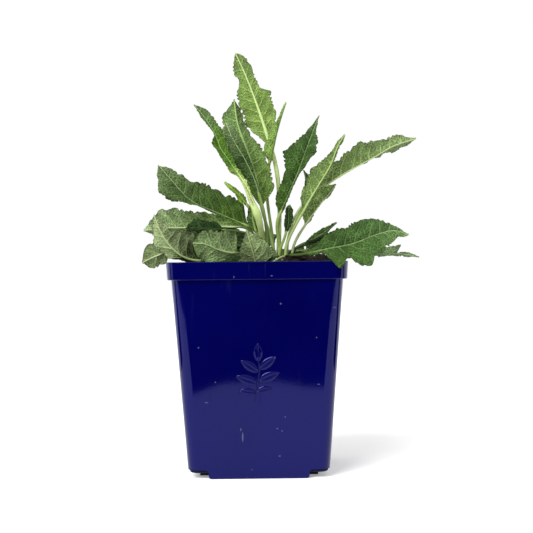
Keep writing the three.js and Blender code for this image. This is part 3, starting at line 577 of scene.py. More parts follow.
def directions(curve, points, shares):
    """The unit tangents of a curve at the given shares."""
    step = 1e-4
    return unit(curve(points, np.minimum(shares + step, 1)) - curve(points, np.maximum(shares - step, 0)))


def run_length(points):
    """How far along its line each point lies."""
    steps = np.linalg.norm(np.diff(points, axis=0), axis=1)
    return np.concatenate([[0], np.cumsum(steps)])


def squared(wanted, along):
    """The directions square to the tangents that lie nearest to the wanted ones."""
    return unit(wanted - along * np.sum(wanted * along, axis=-1, keepdims=True))


def half_width(widths, radius, shares):
    """The blade's half width, smooth through the listed ones."""
    rows = np.array([radius, *widths, TIP_HALF], float)
    last = len(rows) - 1
    at = shares * last
    low = np.minimum(at.astype(int), last - 1)
    f = at - low
    here = rows[low]
    there = rows[low + 1]
    slope_in = (there - rows[np.maximum(low - 1, 0)]) / 2
    slope_out = (rows[np.minimum(low + 2, last)] - here) / 2
    width = ((2 * f ** 3 - 3 * f ** 2 + 1) * here + (f ** 3 - 2 * f ** 2 + f) * slope_in
             + (3 * f ** 2 - 2 * f ** 3) * there + (f ** 3 - f ** 2) * slope_out)
    return np.maximum(width, TIP_HALF)


# ---- meshes ----
class Skin:
    """Gathers the points and faces of one piece, and makes its mesh."""

    def __init__(self):
        self.points = []
        self.spots = []
        self.ladders = []
        self.tints = []
        self.count = 0
        self.faces = []

    def add_points(self, points, spots=None, tints=None, ladder=None):
        """Adds points with their place on the leaf, their colour and their place between side veins."""
        start = self.count
        self.points.append(points.reshape(-1, 3))
        blank = np.zeros(self.points[-1].shape)
        self.spots.append(blank if spots is None else spots.reshape(-1, 3))
        self.tints.append(blank if tints is None else tints.reshape(-1, 3))
        self.ladders.append(blank[:, 0] if ladder is None else ladder.ravel())
        self.count += len(self.points[-1])
        return start

    def add_faces(self, corners, maps, slot):
        """Adds faces, one row of point numbers each, with a place on the piece's map for each corner."""
        corners = np.asarray(corners, int)
        if np.ndim(maps) < 3:
            maps = np.broadcast_to(np.asarray(maps, float), corners.shape + (2,))
        self.faces.append((corners, maps, slot))

    def mesh(self, name, materials):
        """The finished mesh object, in metres."""
        points = np.vstack(self.points) * MM
        loops = np.concatenate([corners.ravel() for corners, _, _ in self.faces])
        counts = np.concatenate([np.full(len(corners), corners.shape[1]) for corners, _, _ in self.faces])
        maps = np.concatenate([np.reshape(places, (-1, 2)) for _, places, _ in self.faces])
        slots = np.concatenate([np.full(len(corners), slot) for corners, _, slot in self.faces])
        mesh = bpy.data.meshes.new(name)
        mesh.vertices.add(len(points))
        mesh.vertices.foreach_set("co", points.astype(np.float32).ravel())
        mesh.loops.add(len(loops))
        mesh.loops.foreach_set("vertex_index", loops.astype(np.int32))
        mesh.polygons.add(len(counts))
        starts = np.concatenate([[0], np.cumsum(counts)[:-1]])
        mesh.polygons.foreach_set("loop_start", starts.astype(np.int32))
        mesh.polygons.foreach_set("material_index", slots.astype(np.int32))
        mesh.update(calc_edges=True)
        layer = mesh.uv_layers.new(name="OFBake")
        layer.data.foreach_set("uv", maps.astype(np.float32).ravel())
        spot = mesh.attributes.new("spot", "FLOAT_VECTOR", "POINT")
        spot.data.foreach_set("vector", np.vstack(self.spots).astype(np.float32).ravel())
        ladder = mesh.attributes.new("ladder", "FLOAT", "POINT")
        ladder.data.foreach_set("value", np.concatenate(self.ladders).astype(np.float32))
        tint = mesh.attributes.new("tint", "FLOAT_COLOR", "POINT")
        colours = np.hstack([np.vstack(self.tints), np.ones((self.count, 1))])
        tint.data.foreach_set("color", colours.astype(np.float32).ravel())
        mesh.validate()
        mesh.shade_smooth()
        for material in materials:
            mesh.materials.append(material)
        piece = bpy.data.objects.new(name, mesh)
        bpy.context.scene.collection.objects.link(piece)
        return piece


def ring_faces(first, rows, sides):
    """Faces between rings that lie one after the other, closed round."""
    row = np.arange(rows - 1)[:, None] * sides + first
    here = np.arange(sides)[None, :]
    there = (here + 1) % sides
    corners = np.stack([row + here, row + there, row + sides + there, row + sides + here], axis=-1)
    return corners.reshape(-1, 4)


def ring_maps(places, heights):
    """Places on the map for the corners of those faces, from the places across and the heights up."""
    here = np.stack([places[:-1], places[1:], places[1:], places[:-1]], axis=-1)
    rise = np.stack([heights[:-1], heights[:-1], heights[1:], heights[1:]], axis=-1)
    shape = (len(rise), len(here), 4)
    maps = np.stack([np.broadcast_to(here[None], shape), np.broadcast_to(rise[:, None], shape)], axis=-1)
    return maps.reshape(-1, 4, 2)


# ---- a leaf ----
class Leaf:
    """The lines that a leaf is built on, worked out from its row in the table."""

    def __init__(self, row):
        self.row = row
        self.name = row["name"]
        self.finish = FINISHES.get(self.name, {"skin": [BACK_SKIN]})
        self.radius = row.get("radius", PETIOLE_RADIUS)
        self.seed = row["slot"][0] * 7 + row["slot"][1] * 3
        self.set_blade()
        self.set_stalk()

    def set_blade(self):
        """The midrib, its tangents and its upper directions, base to tip."""
        rough = run_length(curve_points(self.row["blade"], np.linspace(0, 1, ROUGH_STEPS)))[-1]
        rows = math.ceil(rough / ROW_STEP) + 1
        self.share = np.linspace(0, 1, rows)
        self.centre = curve_points(self.row["blade"], self.share)
        self.along = directions(curve_points, self.row["blade"], self.share)
        self.up = squared(blend_rows(self.row["face"], self.share), self.along)
        self.side = np.cross(self.along, self.up)
        self.far = run_length(self.centre)

    def set_stalk(self):
        """The stalk's line from its socket to the blade, with its directions carried down without twist."""
        ring, step = self.row["slot"]
        angle = math.radians(step * 60 / ring)
        x = CROWN_CENTRE[0] + ring * SLOT_PITCH * math.cos(angle)
        y = CROWN_CENTRE[1] + ring * SLOT_PITCH * math.sin(angle)
        collar = np.array([x, y, COLLAR], float)
        base = self.centre[0]
        reach = self.row.get("reach", PETIOLE_REACH * np.linalg.norm(collar - base))
        climb = min(reach, self.row.get("rise", reach))
        corners = [collar, collar + [0, 0, climb], base - self.along[0] * reach, base]
        rough = run_length(bezier_points(corners, np.linspace(0, 1, ROUGH_STEPS)))[-1]
        rows = math.ceil(rough / TUBE_STEP) + 1
        share = np.linspace(0, 1, rows)[:-1]
        depths = np.arange(SOCKET_FLOOR, COLLAR, SOCKET_STEP)
        socket = np.array([[x, y, z] for z in depths])
        self.stalk = np.vstack([socket, bezier_points(corners, share)])
        tangents = np.vstack([np.tile([0, 0, 1.0], (len(socket), 1)),
                              directions(bezier_points, corners, share)])
        self.stalk_along = tangents
        up = self.up[0]
        carried = []
        for tangent in tangents[::-1]:
            up = squared(up, tangent)
            carried.append(up)
        self.stalk_up = np.array(carried[::-1])


def column_shares(widest):
    """Where the blade's columns stand across it: -1 on the left margin, 0 on the midrib, 1 on the right."""
    count = max(6, math.ceil(widest / COLUMN_STEP))
    half = (np.arange(count + 1) / count) ** COLUMN_CROWDING
    return np.concatenate([-half[:0:-1], half])


def scalloped(leaf, full, share, side):
    """The half width, with loose lobes and cut back between the rounded teeth of the margin."""
    far = leaf.far[:, None]
    eased = smooth(leaf.share, *MARGIN_EASE)[:, None]
    lobed = full * (1 + LOBE_SHARE * ripple(far, side * MARGINS_APART, LOBE_LENGTH, leaf.seed) * eased)
    size = leaf.row.get("teeth", 1)
    wander = TOOTH_WANDER * np.sin(far * TOOTH_WANDER_RATE / size + leaf.seed + side)
    phase = far / (TOOTH_PITCH * size) + wander + TOOTH_STAGGER * side
    tooth = np.abs(np.sin(math.pi * phase)) ** TOOTH_ROUND
    small = np.abs(np.sin(2 * math.pi * phase + SMALL_TOOTH_SHIFT)) ** SMALL_TOOTH_ROUND
    deep = TOOTH_LEAST + TOOTH_PLAY * scattered(np.floor(phase), 0, leaf.seed + side, SCATTER_TEETH)
    depth = np.minimum(TOOTH_DEPTH * size ** TOOTH_GROWTH, TOOTH_SHARE * full) * eased
    return lobed - depth * (deep * (1 - tooth) + SMALL_TOOTH * (1 - small)) * share ** 7


def side_veins(leaf, far, across):
    """Where a point lies between two side veins: whole numbers fall on the veins."""
    away = np.abs(across)
    wander = VEIN_WANDER * ripple(far, across, VEIN_WANDER_LENGTH, leaf.seed + 2)
    slant = away * (VEIN_SLANT + VEIN_CURL * away)
    return (far - slant) / VEIN_PITCH + wander + VEIN_STAGGER * (across < 0) + VEIN_START * leaf.seed


class Blade:
    """A blade laid flat, as grids over its rows and columns."""

    def __init__(self, leaf):
        row = leaf.row
        self.column = column_shares(max(row["left"] + row["right"]))[None, :]
        self.side = np.sign(self.column)
        self.share = np.abs(self.column)
        left = half_width(row["left"], leaf.radius, leaf.share)[:, None]
        right = half_width(row["right"], leaf.radius, leaf.share)[:, None]
        self.full = np.where(self.column < 0, left, right)
        self.width = scalloped(leaf, self.full, self.share, self.side)
        self.spread = smooth(leaf.share, 0, SPREAD_LENGTH)[:, None]
        self.far = leaf.far[:, None] + 0 * self.column
        self.flat = self.side * self.share * self.width
        self.lively = row.get("calm", 1)


def middle_sheet(leaf, blade):
    """The sheet halfway through the blade: folded at the midrib, waved, arched and ruffled."""
    fold = math.radians(leaf.row["fold"]) * blade.spread
    across = blade.flat * np.cos(fold)
    swing = np.sin(WAVE_RATE * leaf.share + leaf.row["slot"][1])[:, None]
    wave = WAVE_HEIGHT * blade.lively * blade.spread * swing
    lift = blade.share * blade.width * np.sin(fold) + blade.column * wave
    lift = lift + ARCH_SHARE * blade.full * np.sin(math.pi * blade.share) * blade.spread
    wander = RUFFLE_WANDER * np.sin(blade.far * RUFFLE_WANDER_RATE)
    stagger = RUFFLE_STAGGER * blade.side
    ruffle = np.sin(2 * math.pi * blade.far / RUFFLE_LENGTH + leaf.seed + stagger + wander)
    height = RUFFLE_HEIGHT * blade.lively * blade.spread * blade.share ** 3
    lift = lift + height * ruffle * np.minimum(blade.full / RUFFLE_FULL, 1)
    forward = np.abs(across) * leaf.row.get("sweep", 0)
    return (leaf.centre[:, None, :] + across[..., None] * leaf.side[:, None, :]
            + lift[..., None] * leaf.up[:, None, :] + forward[..., None] * leaf.along[:, None, :])


def raised(leaf, blade, hump, inner):
    """How high the sheet stands between its veins: puckers, the small cells in them and a slow swell."""
    pucker = PUCKER_HEIGHT * blade.lively * hump * inner * (1 - PUCKER_FADE * blade.share ** 5)
    size = np.minimum(blade.full / PUCKER_FULL, 1)
    cell = np.minimum(cells(blade.far, blade.flat, CELL_SIZE, leaf.seed), CELL_TOP) / CELL_TOP
    beside = smooth(np.abs(blade.flat), *CELL_EASE)
    relief = (pucker * size + CELL_HEIGHT * cell * beside) * blade.spread
    swell = ripple(blade.far, blade.flat, SWELL_LENGTH, leaf.seed)
    return relief + SWELL_HEIGHT * swell * blade.spread * blade.share


def blade_surfaces(leaf):
    """The upper and lower sheets of the blade as grids of points, with their place on the leaf."""
    blade = Blade(leaf)
    middle = middle_sheet(leaf, blade)
    normal = unit(np.cross(np.gradient(middle, axis=1), np.gradient(middle, axis=0)))
    between = side_veins(leaf, blade.far, blade.flat)
    hump = np.abs(np.sin(math.pi * between)) ** PUCKER_ROUND
    inner = smooth(np.abs(blade.flat), *VEIN_EASE)
    relief = raised(leaf, blade, hump, inner)
    slim = 1 - blade.share ** 6
    half = SHEET_THICKNESS / 2 * slim
    groove = GROOVE_DEPTH * np.exp(-(blade.flat / GROOVE_WIDTH) ** 2) * blade.spread * slim
    on_vein = 1 - smooth(hump, 0.0, RIB_EDGE)
    rib = RIB_HEIGHT * on_vein * inner * slim * blade.spread * (1 - RIB_FADE * blade.share)
    upper = middle + normal * (relief + half - groove)[..., None]
    lower = middle + normal * (relief - half - rib)[..., None]
    spots = np.stack([blade.far, blade.flat, blade.side * blade.share + 0 * blade.far], axis=-1)
    return upper, lower, spots, between


def skin_colours(leaf, spots):
    """The colours of the upper and lower face at each point of the blade."""
    front = blend_rows([linear(c) for c in leaf.finish["skin"]], leaf.share)[:, None, :]
    # Painted light and shade: one half of the blade is made lighter or darker than the other, as it turns to
    # or from the light.
    painted_light_halves = leaf.finish.get("painted_light_halves", (1, 1))
    column = spots[..., 2]
    light = np.where(column < 0, painted_light_halves[0], painted_light_halves[1])
    eased = 1 + (light - 1) * smooth(np.abs(column), 0, HALVES_EASE)
    mottle = 1 + MOTTLE * ripple(spots[..., 0], spots[..., 1], MOTTLE_LENGTH, leaf.seed + 4)
    shown = front * (eased * mottle)[..., None]
    plain_other = UPPER_SKIN if leaf.row.get("under") else UNDER_SKIN
    other = linear(leaf.finish.get("other", plain_other)) * mottle[..., None]
    return (other, shown) if leaf.row.get("under") else (shown, other)


def add_blade(skin, leaf, room):
    """Adds the closed blade: both sheets, the margin between them, and the caps at base and tip."""
    upper, lower, spots, ladder = blade_surfaces(leaf)
    upper_tint, lower_tint = skin_colours(leaf, spots)
    rows, columns = upper.shape[:2]
    last = columns - 1
    sides = 2 * last
    margin = (upper + lower) / 2
    upper[:, 0] = margin[:, 0]
    upper[:, last] = margin[:, last]

    def ringed(above, below):
        return np.concatenate([above, below[:, last - 1:0:-1]], axis=1)

    first = skin.add_points(ringed(upper, lower), ringed(spots, spots), ringed(upper_tint, lower_tint),
                            ringed(ladder, ladder))
    corners = ring_faces(first, rows, sides).reshape(rows - 1, sides, 4)
    across = (spots[0, :, 2] + 1) / 2
    up_to_down = np.concatenate([across, across[last - 1::-1]])
    high = leaf.far / room["height"]

    upper_places = room["upper"] + room["blade"] * up_to_down[:last + 1]
    lower_places = room["lower"] + room["blade"] * (1 - up_to_down[last:])
    skin.add_faces(corners[:, :last].reshape(-1, 4), ring_maps(upper_places, high), 0)
    skin.add_faces(corners[:, last:].reshape(-1, 4), ring_maps(lower_places, high), 1)
    top = np.arange(columns)
    foot = np.concatenate([[0], np.arange(sides - 1, last, -1), [last]])
    cap = np.stack([top[:-1], top[1:], foot[1:], foot[:-1]], axis=-1)
    for row, flip in ((0, True), (rows - 1, False)):
        ring = first + row * sides
        place = [room["upper"], high[row]]
        middle = cap[1:-1] + ring
        ends = np.array([cap[0, :3], [cap[-1, 0], cap[-1, 1], cap[-1, 3]]]) + ring
        skin.add_faces(middle[:, ::-1] if flip else middle, place, 1)
        skin.add_faces(ends[:, ::-1] if flip else ends, place, 1)


def tube_radius(leaf):
    """The radius of the stalk and then of the midrib that runs on under the blade."""
    far = run_length(leaf.stalk)
    stout = leaf.finish.get("stem", 1)
    above = np.maximum(far - (COLLAR - SOCKET_FLOOR), 0)
    rise = above / above[-1]
    stalk = leaf.radius * (1 + (stout - 1) * rise ** 2)
    swell = 1 + SHEATH_SWELL * np.exp(-above / SHEATH_LENGTH) * smooth(far, *SHEATH_EASE)
    rib = leaf.finish.get("rib", 1)
    thin = MIDRIB_RADIUS * rib
    blade = thin + (leaf.radius * stout - thin) * (1 - leaf.share) ** (MIDRIB_TAPER / rib)
    return np.concatenate([stalk * swell, blade])


def add_stalk(skin, leaf, room):
    """Adds the stalk, which goes on under the blade as the midrib."""
    centre = np.vstack([leaf.stalk, leaf.centre])
    along = np.vstack([leaf.stalk_along, leaf.along])
    up = np.vstack([leaf.stalk_up, leaf.up])
    side = np.cross(along, up)
    radius = tube_radius(leaf)
    share = np.concatenate([np.zeros(len(leaf.stalk)), leaf.share])
    sunk = np.maximum(radius - MIDRIB_PROUD, 0) * smooth(share, 0, 0.1)
    centre = centre - up * sunk[:, None]
    far = run_length(centre)
    turn = np.arange(TUBE_SIDES) * 2 * math.pi / TUBE_SIDES
    bent = np.minimum(turn, 2 * math.pi - turn)
    channel = CHANNEL_DEPTH * np.exp(-(bent / CHANNEL_WIDTH) ** 2)
    girth = radius[:, None] * (1 - channel[None, :] * smooth(far, *CHANNEL_EASE)[:, None])
    girth = girth * (1 + UNEVEN_SHARE * ripple(far[:, None], 0 * turn[None, :], UNEVEN_LENGTH, leaf.seed))
    ring = (np.sin(turn)[None, :, None] * side[:, None, :] + np.cos(turn)[None, :, None] * up[:, None, :])
    points = centre[:, None, :] + girth[..., None] * ring
    spots = np.stack([far[:, None] + 0 * turn, bent[None, :] * radius[:, None], 2 + 0 * girth], axis=-1)
    shown = linear(leaf.finish.get("stalk", STALK_SKIN))
    foot = linear(leaf.finish.get("foot", leaf.finish.get("stalk", STALK_SKIN)))
    risen = smooth(far / run_length(leaf.stalk)[-1], *FOOT_EASE)[:, None]
    deep = 1.08 - 0.2 * np.exp(-far / 12)[:, None]
    tints = ((foot + (shown - foot) * risen) * deep)[:, None, :] * np.ones(points.shape)
    first = skin.add_points(points, spots, tints)
    rows = len(centre)
    places = room["tube"] + room["girth"] * np.arange(TUBE_SIDES + 1) / TUBE_SIDES
    high = far / room["height"]
    skin.add_faces(ring_faces(first, rows, TUBE_SIDES), ring_maps(places, high), 2)
    start = np.arange(TUBE_SIDES)[::-1] + first
    end = np.arange(TUBE_SIDES) + first + (rows - 1) * TUBE_SIDES
    skin.add_faces(start[None, :], [room["tube"], high[0]], 2)
    skin.add_faces(end[None, :], [room["tube"], high[-1]], 2)


def make_leaf(row, materials):
    """One leaf in the place of its CAD node."""
    leaf = Leaf(row)
    wide = max(row["left"]) + max(row["right"])
    scale = (1 - 4 * MAP_GAP) / (2 * wide + MAP_GIRTH)
    tube = run_length(leaf.stalk)[-1] + leaf.far[-1] + MAP_SPARE
    room = {"height": tube * MAP_SCALE, "blade": wide * scale, "girth": MAP_GIRTH * scale, "upper": MAP_GAP,
            "lower": 2 * MAP_GAP + wide * scale, "tube": 3 * MAP_GAP + 2 * wide * scale}
    skin = Skin()
    add_blade(skin, leaf, room)
    add_stalk(skin, leaf, room)
    piece = skin.mesh(leaf.name + "_fine", materials)
    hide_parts(leaf.name)
    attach(piece, "root")


# ---- finishes ----
class Flow:
    """One value in a material's nodes, so that shader sums read as Python."""

    def __init__(self, finish, socket):
        self.finish = finish
        self.socket = socket

    def __add__(self, other):
        return self.finish.sum("ADD", self, other)

    def __radd__(self, other):
        return self.finish.sum("ADD", other, self)

    def __sub__(self, other):
        return self.finish.sum("SUBTRACT", self, other)

    def __rsub__(self, other):
        return self.finish.sum("SUBTRACT", other, self)

    def __mul__(self, other):
        return self.finish.sum("MULTIPLY", self, other)

    def __rmul__(self, other):
        return self.finish.sum("MULTIPLY", other, self)

    def __truediv__(self, other):
        return self.finish.sum("DIVIDE", self, other)

    def __pow__(self, other):
        return self.finish.sum("POWER", self, other)

    def __abs__(self):
        return self.finish.sum("ABSOLUTE", self)


class Finish:
    """A material under construction."""

    def __init__(self, name, **constants):
        self.material = bpy.data.materials.new(name)
        self.material.use_nodes = True
        self.tree = self.material.node_tree
        self.tree.nodes.clear()
        self.shader = self.tree.nodes.new("ShaderNodeBsdfPrincipled")
        output = self.tree.nodes.new("ShaderNodeOutputMaterial")
        self.tree.links.new(self.shader.outputs[0], output.inputs["Surface"])
        for socket, value in constants.items():
            self.shader.inputs[socket.replace("_", " ")].default_value = value

    def node(self, kind, settings=None, sockets=None, output=0):
        """Adds a node: its settings first, then the values or links of its sockets."""
        node = self.tree.nodes.new(kind)
        for key, value in (settings or {}).items():
            setattr(node, key, value)
        for key, value in (sockets or {}).items():
            if isinstance(value, Flow):
                self.tree.links.new(value.socket, node.inputs[key])
            else:
                node.inputs[key].default_value = value
        return Flow(self, node.outputs[output])

    def sum(self, operation, *values):
        """A Math node."""
        return self.node("ShaderNodeMath", {"operation": operation}, dict(enumerate(values)))

    def step(self, value, low, high):
        """0 below low, 1 above high, eased between."""
        return self.node("ShaderNodeMapRange", {"interpolation_type": "SMOOTHSTEP"},
                         {0: value, 1: low, 2: high})

    def mix(self, share, first, second):
        """A blend of two colours."""
        colours = {0: share}
        for place, colour in ((6, first), (7, second)):
            colours[place] = colour if isinstance(colour, Flow) else (*colour, 1)
        return self.node("ShaderNodeMix", {"data_type": "RGBA"}, colours, 2)

    def scaled(self, colour, amount):
        """A colour made lighter or darker."""
        return self.node("ShaderNodeVectorMath", {"operation": "SCALE"}, {0: colour, "Scale": amount})

    def noise(self, vector, scale, detail):
        """Cloudy noise about 0.5."""
        return self.node("ShaderNodeTexNoise", None, {"Vector": vector, "Scale": scale, "Detail": detail})

    def borders(self, vector, scale):
        """The distance from the borders of scattered flat cells."""
        return self.node("ShaderNodeTexVoronoi", {"feature": "DISTANCE_TO_EDGE", "voronoi_dimensions": "2D"},
                         {"Vector": vector, "Scale": scale})

    def parts(self, vector):
        """The three numbers of a vector."""
        node = self.tree.nodes.new("ShaderNodeSeparateXYZ")
        self.tree.links.new(vector.socket, node.inputs[0])
        return [Flow(self, socket) for socket in node.outputs]

    def vector(self, x, y, z):
        """A vector of three numbers."""
        return self.node("ShaderNodeCombineXYZ", None, {0: x, 1: y, 2: z})

    def attribute(self, name, output):
        """A value kept with the mesh."""
        return self.node("ShaderNodeAttribute", {"attribute_name": name}, None, output)

    def place(self):
        """A point's place in the row frame, in metres."""
        return self.node("ShaderNodeTexCoord", None, None, "Object")

    def bump(self, height, strength, distance):
        """Feeds a height to the shader's normal."""
        flow = self.node("ShaderNodeBump", None,
                         {"Height": height, "Strength": strength, "Distance": distance})
        self.tree.links.new(flow.socket, self.shader.inputs["Normal"])

    def feed(self, socket, flow):
        """Links a value to one of the shader's sockets."""
        self.tree.links.new(flow.socket, self.shader.inputs[socket])


def leaf_finish(name, upper):
    """One face of a leaf: side veins, a net of small veins between them, and fine down."""
    finish = Finish(name, Roughness=0.7, Specular_IOR_Level=0.16)
    spot = finish.attribute("spot", "Vector")
    tint = finish.attribute("tint", "Color")
    ladder = finish.attribute("ladder", "Fac")
    far, across, column = finish.parts(spot)
    away = abs(across)
    flat = finish.vector(far, across, 0.0)
    out = abs(column)
    near = abs(finish.sum("FRACT", ladder) - 0.5) * 2
    vein = finish.step(near + 0.1 * (1 - out), 0.9, 1.0) * (1 - 0.35 * out)
    fork = abs(finish.sum("FRACT", ladder * 2 + 0.5) - 0.5) * 2
    vein = finish.sum("MAXIMUM", vein, finish.step(fork, 0.8, 0.95) * finish.step(out, 0.35, 0.6) * 0.6)
    wander = finish.noise(flat, 0.5, 2.0)
    other = finish.noise(flat, 0.7, 2.0)
    net_place = finish.vector(far + (wander - 0.5) * 3.0, across + (other - 0.5) * 3.0, 0.0)
    net = 1 - finish.step(finish.borders(net_place, 1 / CELL_SIZE), 0.03, 0.26)
    fine_net = 1 - finish.step(finish.borders(net_place, 1.0), 0.03, 0.3)
    rib = 1 - finish.step(away, 0.3, 0.75)
    cloud = finish.step(finish.noise(flat, 0.13, 3.0), 0.3, 0.7)
    patch = finish.step(finish.noise(flat, 0.07, 1.0), 0.35, 0.65)
    grain = finish.noise(flat, 1.4, 2.0)
    mesh = finish.sum("MAXIMUM", net, vein)
    # The margins are darker, partly their own dark rim and partly painted shade at the teeth. Painted light
    # and shade: broad cloudy patches make the blade lighter and darker, with fine grain over them.
    edge = finish.step(out, 0.84, 0.98)
    light = 0.46 + 0.5 * cloud + 0.4 * grain
    if upper:
        # The small net's lines are darker on the upper face: painted shade in its fine grooves.
        dark = finish.scaled(tint, light * (1.02 - 0.25 * fine_net) * (1 - 0.42 * edge))
        pale = finish.mix(0.14, finish.scaled(tint, 2.5), (0.26, 0.34, 0.16))
        line = finish.sum("MAXIMUM", net * (0.12 + 0.42 * patch), vein * 0.62)
        midrib = finish.mix(0.45, finish.scaled(tint, 2.8), (0.34, 0.43, 0.22))
        colour = finish.mix(rib * 0.95, finish.mix(line, dark, pale), midrib)
        finish.bump(grain * 0.2 - mesh * 0.8 - fine_net * 0.2, 0.8, 0.0011)
    else:
        # The cells of the lower face stay darker than its small net: painted shade in the pits.
        dark = finish.scaled(tint, light * (0.86 + 0.2 * fine_net) * (1 - 0.3 * edge))
        pale = finish.mix(0.3, finish.scaled(tint, 1.9), (0.36, 0.46, 0.17))
        line = finish.sum("MAXIMUM", net * (0.3 + 0.35 * patch), vein * 0.9)
        colour = finish.mix(line, dark, pale)
        finish.bump(mesh * 0.8 + fine_net * 0.25 + grain * 0.2, 0.8, 0.0011)
    finish.feed("Base Color", colour)
    finish.feed("Roughness", 0.6 + 0.25 * grain)
    return finish.material


def stalk_finish():
    """Stalks and midribs: pale green with fine lengthwise streaks."""
    finish = Finish("green_stalk", Roughness=0.5, Specular_IOR_Level=0.25)
    spot = finish.attribute("spot", "Vector")
    tint = finish.attribute("tint", "Color")
    far, round_it, _ = finish.parts(spot)
    streak = finish.noise(finish.vector(far * 0.06, round_it * 1.6, 0.0), 1.0, 3.0)
    cloud = finish.noise(finish.vector(far, round_it, 0.0), 0.12, 2.0)
    light = (0.72 + 0.56 * streak) * (0.88 + 0.24 * cloud)
    finish.feed("Base Color", finish.scaled(tint, light))
    finish.feed("Roughness", 0.42 + 0.2 * streak)
    finish.bump(streak, 0.4, 0.0004)
    return finish.material


def plastic_finish():
    """The pot's glossy blue moulded plastic, with a few specks, scratches and a soft unevenness, and painted
    shade that makes the recess under its corners near black.
    """
    finish = Finish("blue_plastic", Roughness=0.08, IOR=1.5, Specular_IOR_Level=0.5,
                    Specular_Tint=PLASTIC_GLOSS)
    place = finish.place()
    x, y, z = finish.parts(place)
    wide = finish.noise(place, 14, 2.0)
    fine = finish.noise(place, 420, 2.0)
    colour = finish.mix(finish.step(wide, 0.3, 0.7), (0.0002, 0.0003, 0.045), (0.0004, 0.0005, 0.055))
    # Painted shade: the recess under the corners is made near black and rough, as if in shadow.
    inset = finish.sum("LESS_THAN", finish.sum("MAXIMUM", abs(x), abs(y)), RECESS_HALF)
    recess_painted_shade = inset * finish.sum("LESS_THAN", z, RECESS_TOP)
    colour = finish.mix(recess_painted_shade * 0.93, colour, (0.0015, 0.0013, 0.0016))
    marks = None
    for px, pz, wide_half, high_half in SPECKS:
        away = ((x / MM - px) / wide_half) ** 2 + ((z / MM - pz) / high_half) ** 2
        mark = 1 - finish.step(away, 0.2, 1.2)
        marks = mark if marks is None else finish.sum("MAXIMUM", marks, mark)
    front = finish.sum("LESS_THAN", y, FRONT_FROM)
    colour = finish.mix(marks * front * 0.4, colour, (0.16, 0.16, 0.24))
    scratch_place = finish.vector(x * 260, y * 260, z * 12)
    scratch = finish.step(finish.noise(scratch_place, 1.0, 1.0), 0.68, 0.74)
    finish.feed("Base Color", colour)
    finish.feed("Roughness", 0.05 + 0.05 * wide + 0.12 * scratch + 0.7 * recess_painted_shade)
    finish.bump(wide * 1.6 + fine * 0.03, 0.2, 0.0012)
    return finish.material


def soil_finish():
    """Dark peat with brown fibres."""
    finish = Finish("peat_soil", Roughness=0.95, Specular_IOR_Level=0.15)
    place = finish.place()
    lump = finish.noise(place, 260, 4.0)
    fleck = finish.node("ShaderNodeTexVoronoi", None, {"Vector": place, "Scale": 520.0}, "Color")
    pick = finish.parts(fleck)[0]
    colour = finish.mix(finish.step(lump, 0.35, 0.7), (0.003, 0.0022, 0.0016), (0.014, 0.009, 0.006))
    colour = finish.mix(finish.step(pick, 0.88, 0.96) * 0.5, colour, (0.055, 0.033, 0.019))
    finish.feed("Base Color", colour)
    finish.feed("Roughness", 0.85 + 0.12 * lump)
    finish.bump(lump, 0.7, 0.0015)
    return finish.material


def chip_finish(name, dark, pale):
    """Bits of bark or perlite that lie in the soil."""
    finish = Finish(name, Roughness=0.85, Specular_IOR_Level=0.2)
    place = finish.place()
    grain = finish.noise(place, 340, 3.0)
    finish.feed("Base Color", finish.mix(finish.step(grain, 0.3, 0.7), dark, pale))
    finish.feed("Roughness", 0.75 + 0.2 * grain)
    finish.bump(grain, 0.5, 0.0006)
    return finish.material


def crown_finish():
    """The crown: pale green sheaths that turn straw brown at the soil."""
    finish = Finish("crown_sheath", Roughness=0.6, Specular_IOR_Level=0.3)
    place = finish.place()
    _, _, z = finish.parts(place)
    fibre = finish.noise(finish.node("ShaderNodeVectorMath", {"operation": "MULTIPLY"},
                                     {0: place, 1: (900, 900, 90)}), 1.0, 3.0)
    high = finish.step(z + fibre * 0.004, 0.164, 0.174)
    straw = finish.mix(fibre, (0.06, 0.038, 0.018), (0.20, 0.14, 0.065))
    green = finish.mix(fibre, (0.10, 0.13, 0.045), (0.30, 0.36, 0.16))
    finish.feed("Base Color", finish.mix(high, straw, green))
    finish.feed("Roughness", 0.5 + 0.25 * fibre)
    finish.bump(fibre, 0.6, 0.0006)
    return finish.material


def floor_finish():
    """The plain pale floor, with a painted glow that lightens the shadows on it and keeps them faint."""
    finish = Finish("pale_floor", Roughness=0.9, Specular_IOR_Level=0.1, Emission_Strength=FLOOR_GLOW,
                    Emission_Color=(1, 1, 1, 1))
    place = finish.place()
    cloud = finish.noise(place, 3.0, 2.0)
    finish.feed("Base Color", finish.mix(cloud, (0.90, 0.90, 0.90), (0.93, 0.93, 0.93)))
    return finish.material


def card_finish():
    """The dark studio cards that the glossy pot mirrors."""
    finish = Finish("dark_card", Roughness=1.0, Specular_IOR_Level=0.0)
    place = finish.place()
    cloud = finish.noise(place, 2.0, 1.0)
    finish.feed("Base Color", finish.mix(cloud, (0.0, 0.0, 0.0), (0.004, 0.004, 0.004)))
    return finish.material


# ---- the pot ----
def arc_angles(start, turn, steps):
    """Even steps round an arc, given in degrees."""
    return [math.radians(start + turn * step / steps) for step in range(steps + 1)]


def rounded_square(half, corner, z):
    """A ring of points round a square with rounded corners, counter-clockwise seen from above."""
    ring = []
    for quarter in range(4):
        turn = math.radians(90 * quarter)
        cx = half - corner
        centre = (cx * math.cos(turn) - cx * math.sin(turn), cx * math.sin(turn) + cx * math.cos(turn))
        for step in range(CORNER_STEPS + 1):
            angle = turn + math.pi / 2 * step / CORNER_STEPS
            ring.append((centre[0] + corner * math.cos(angle), centre[1] + corner * math.sin(angle), z))
    return ring


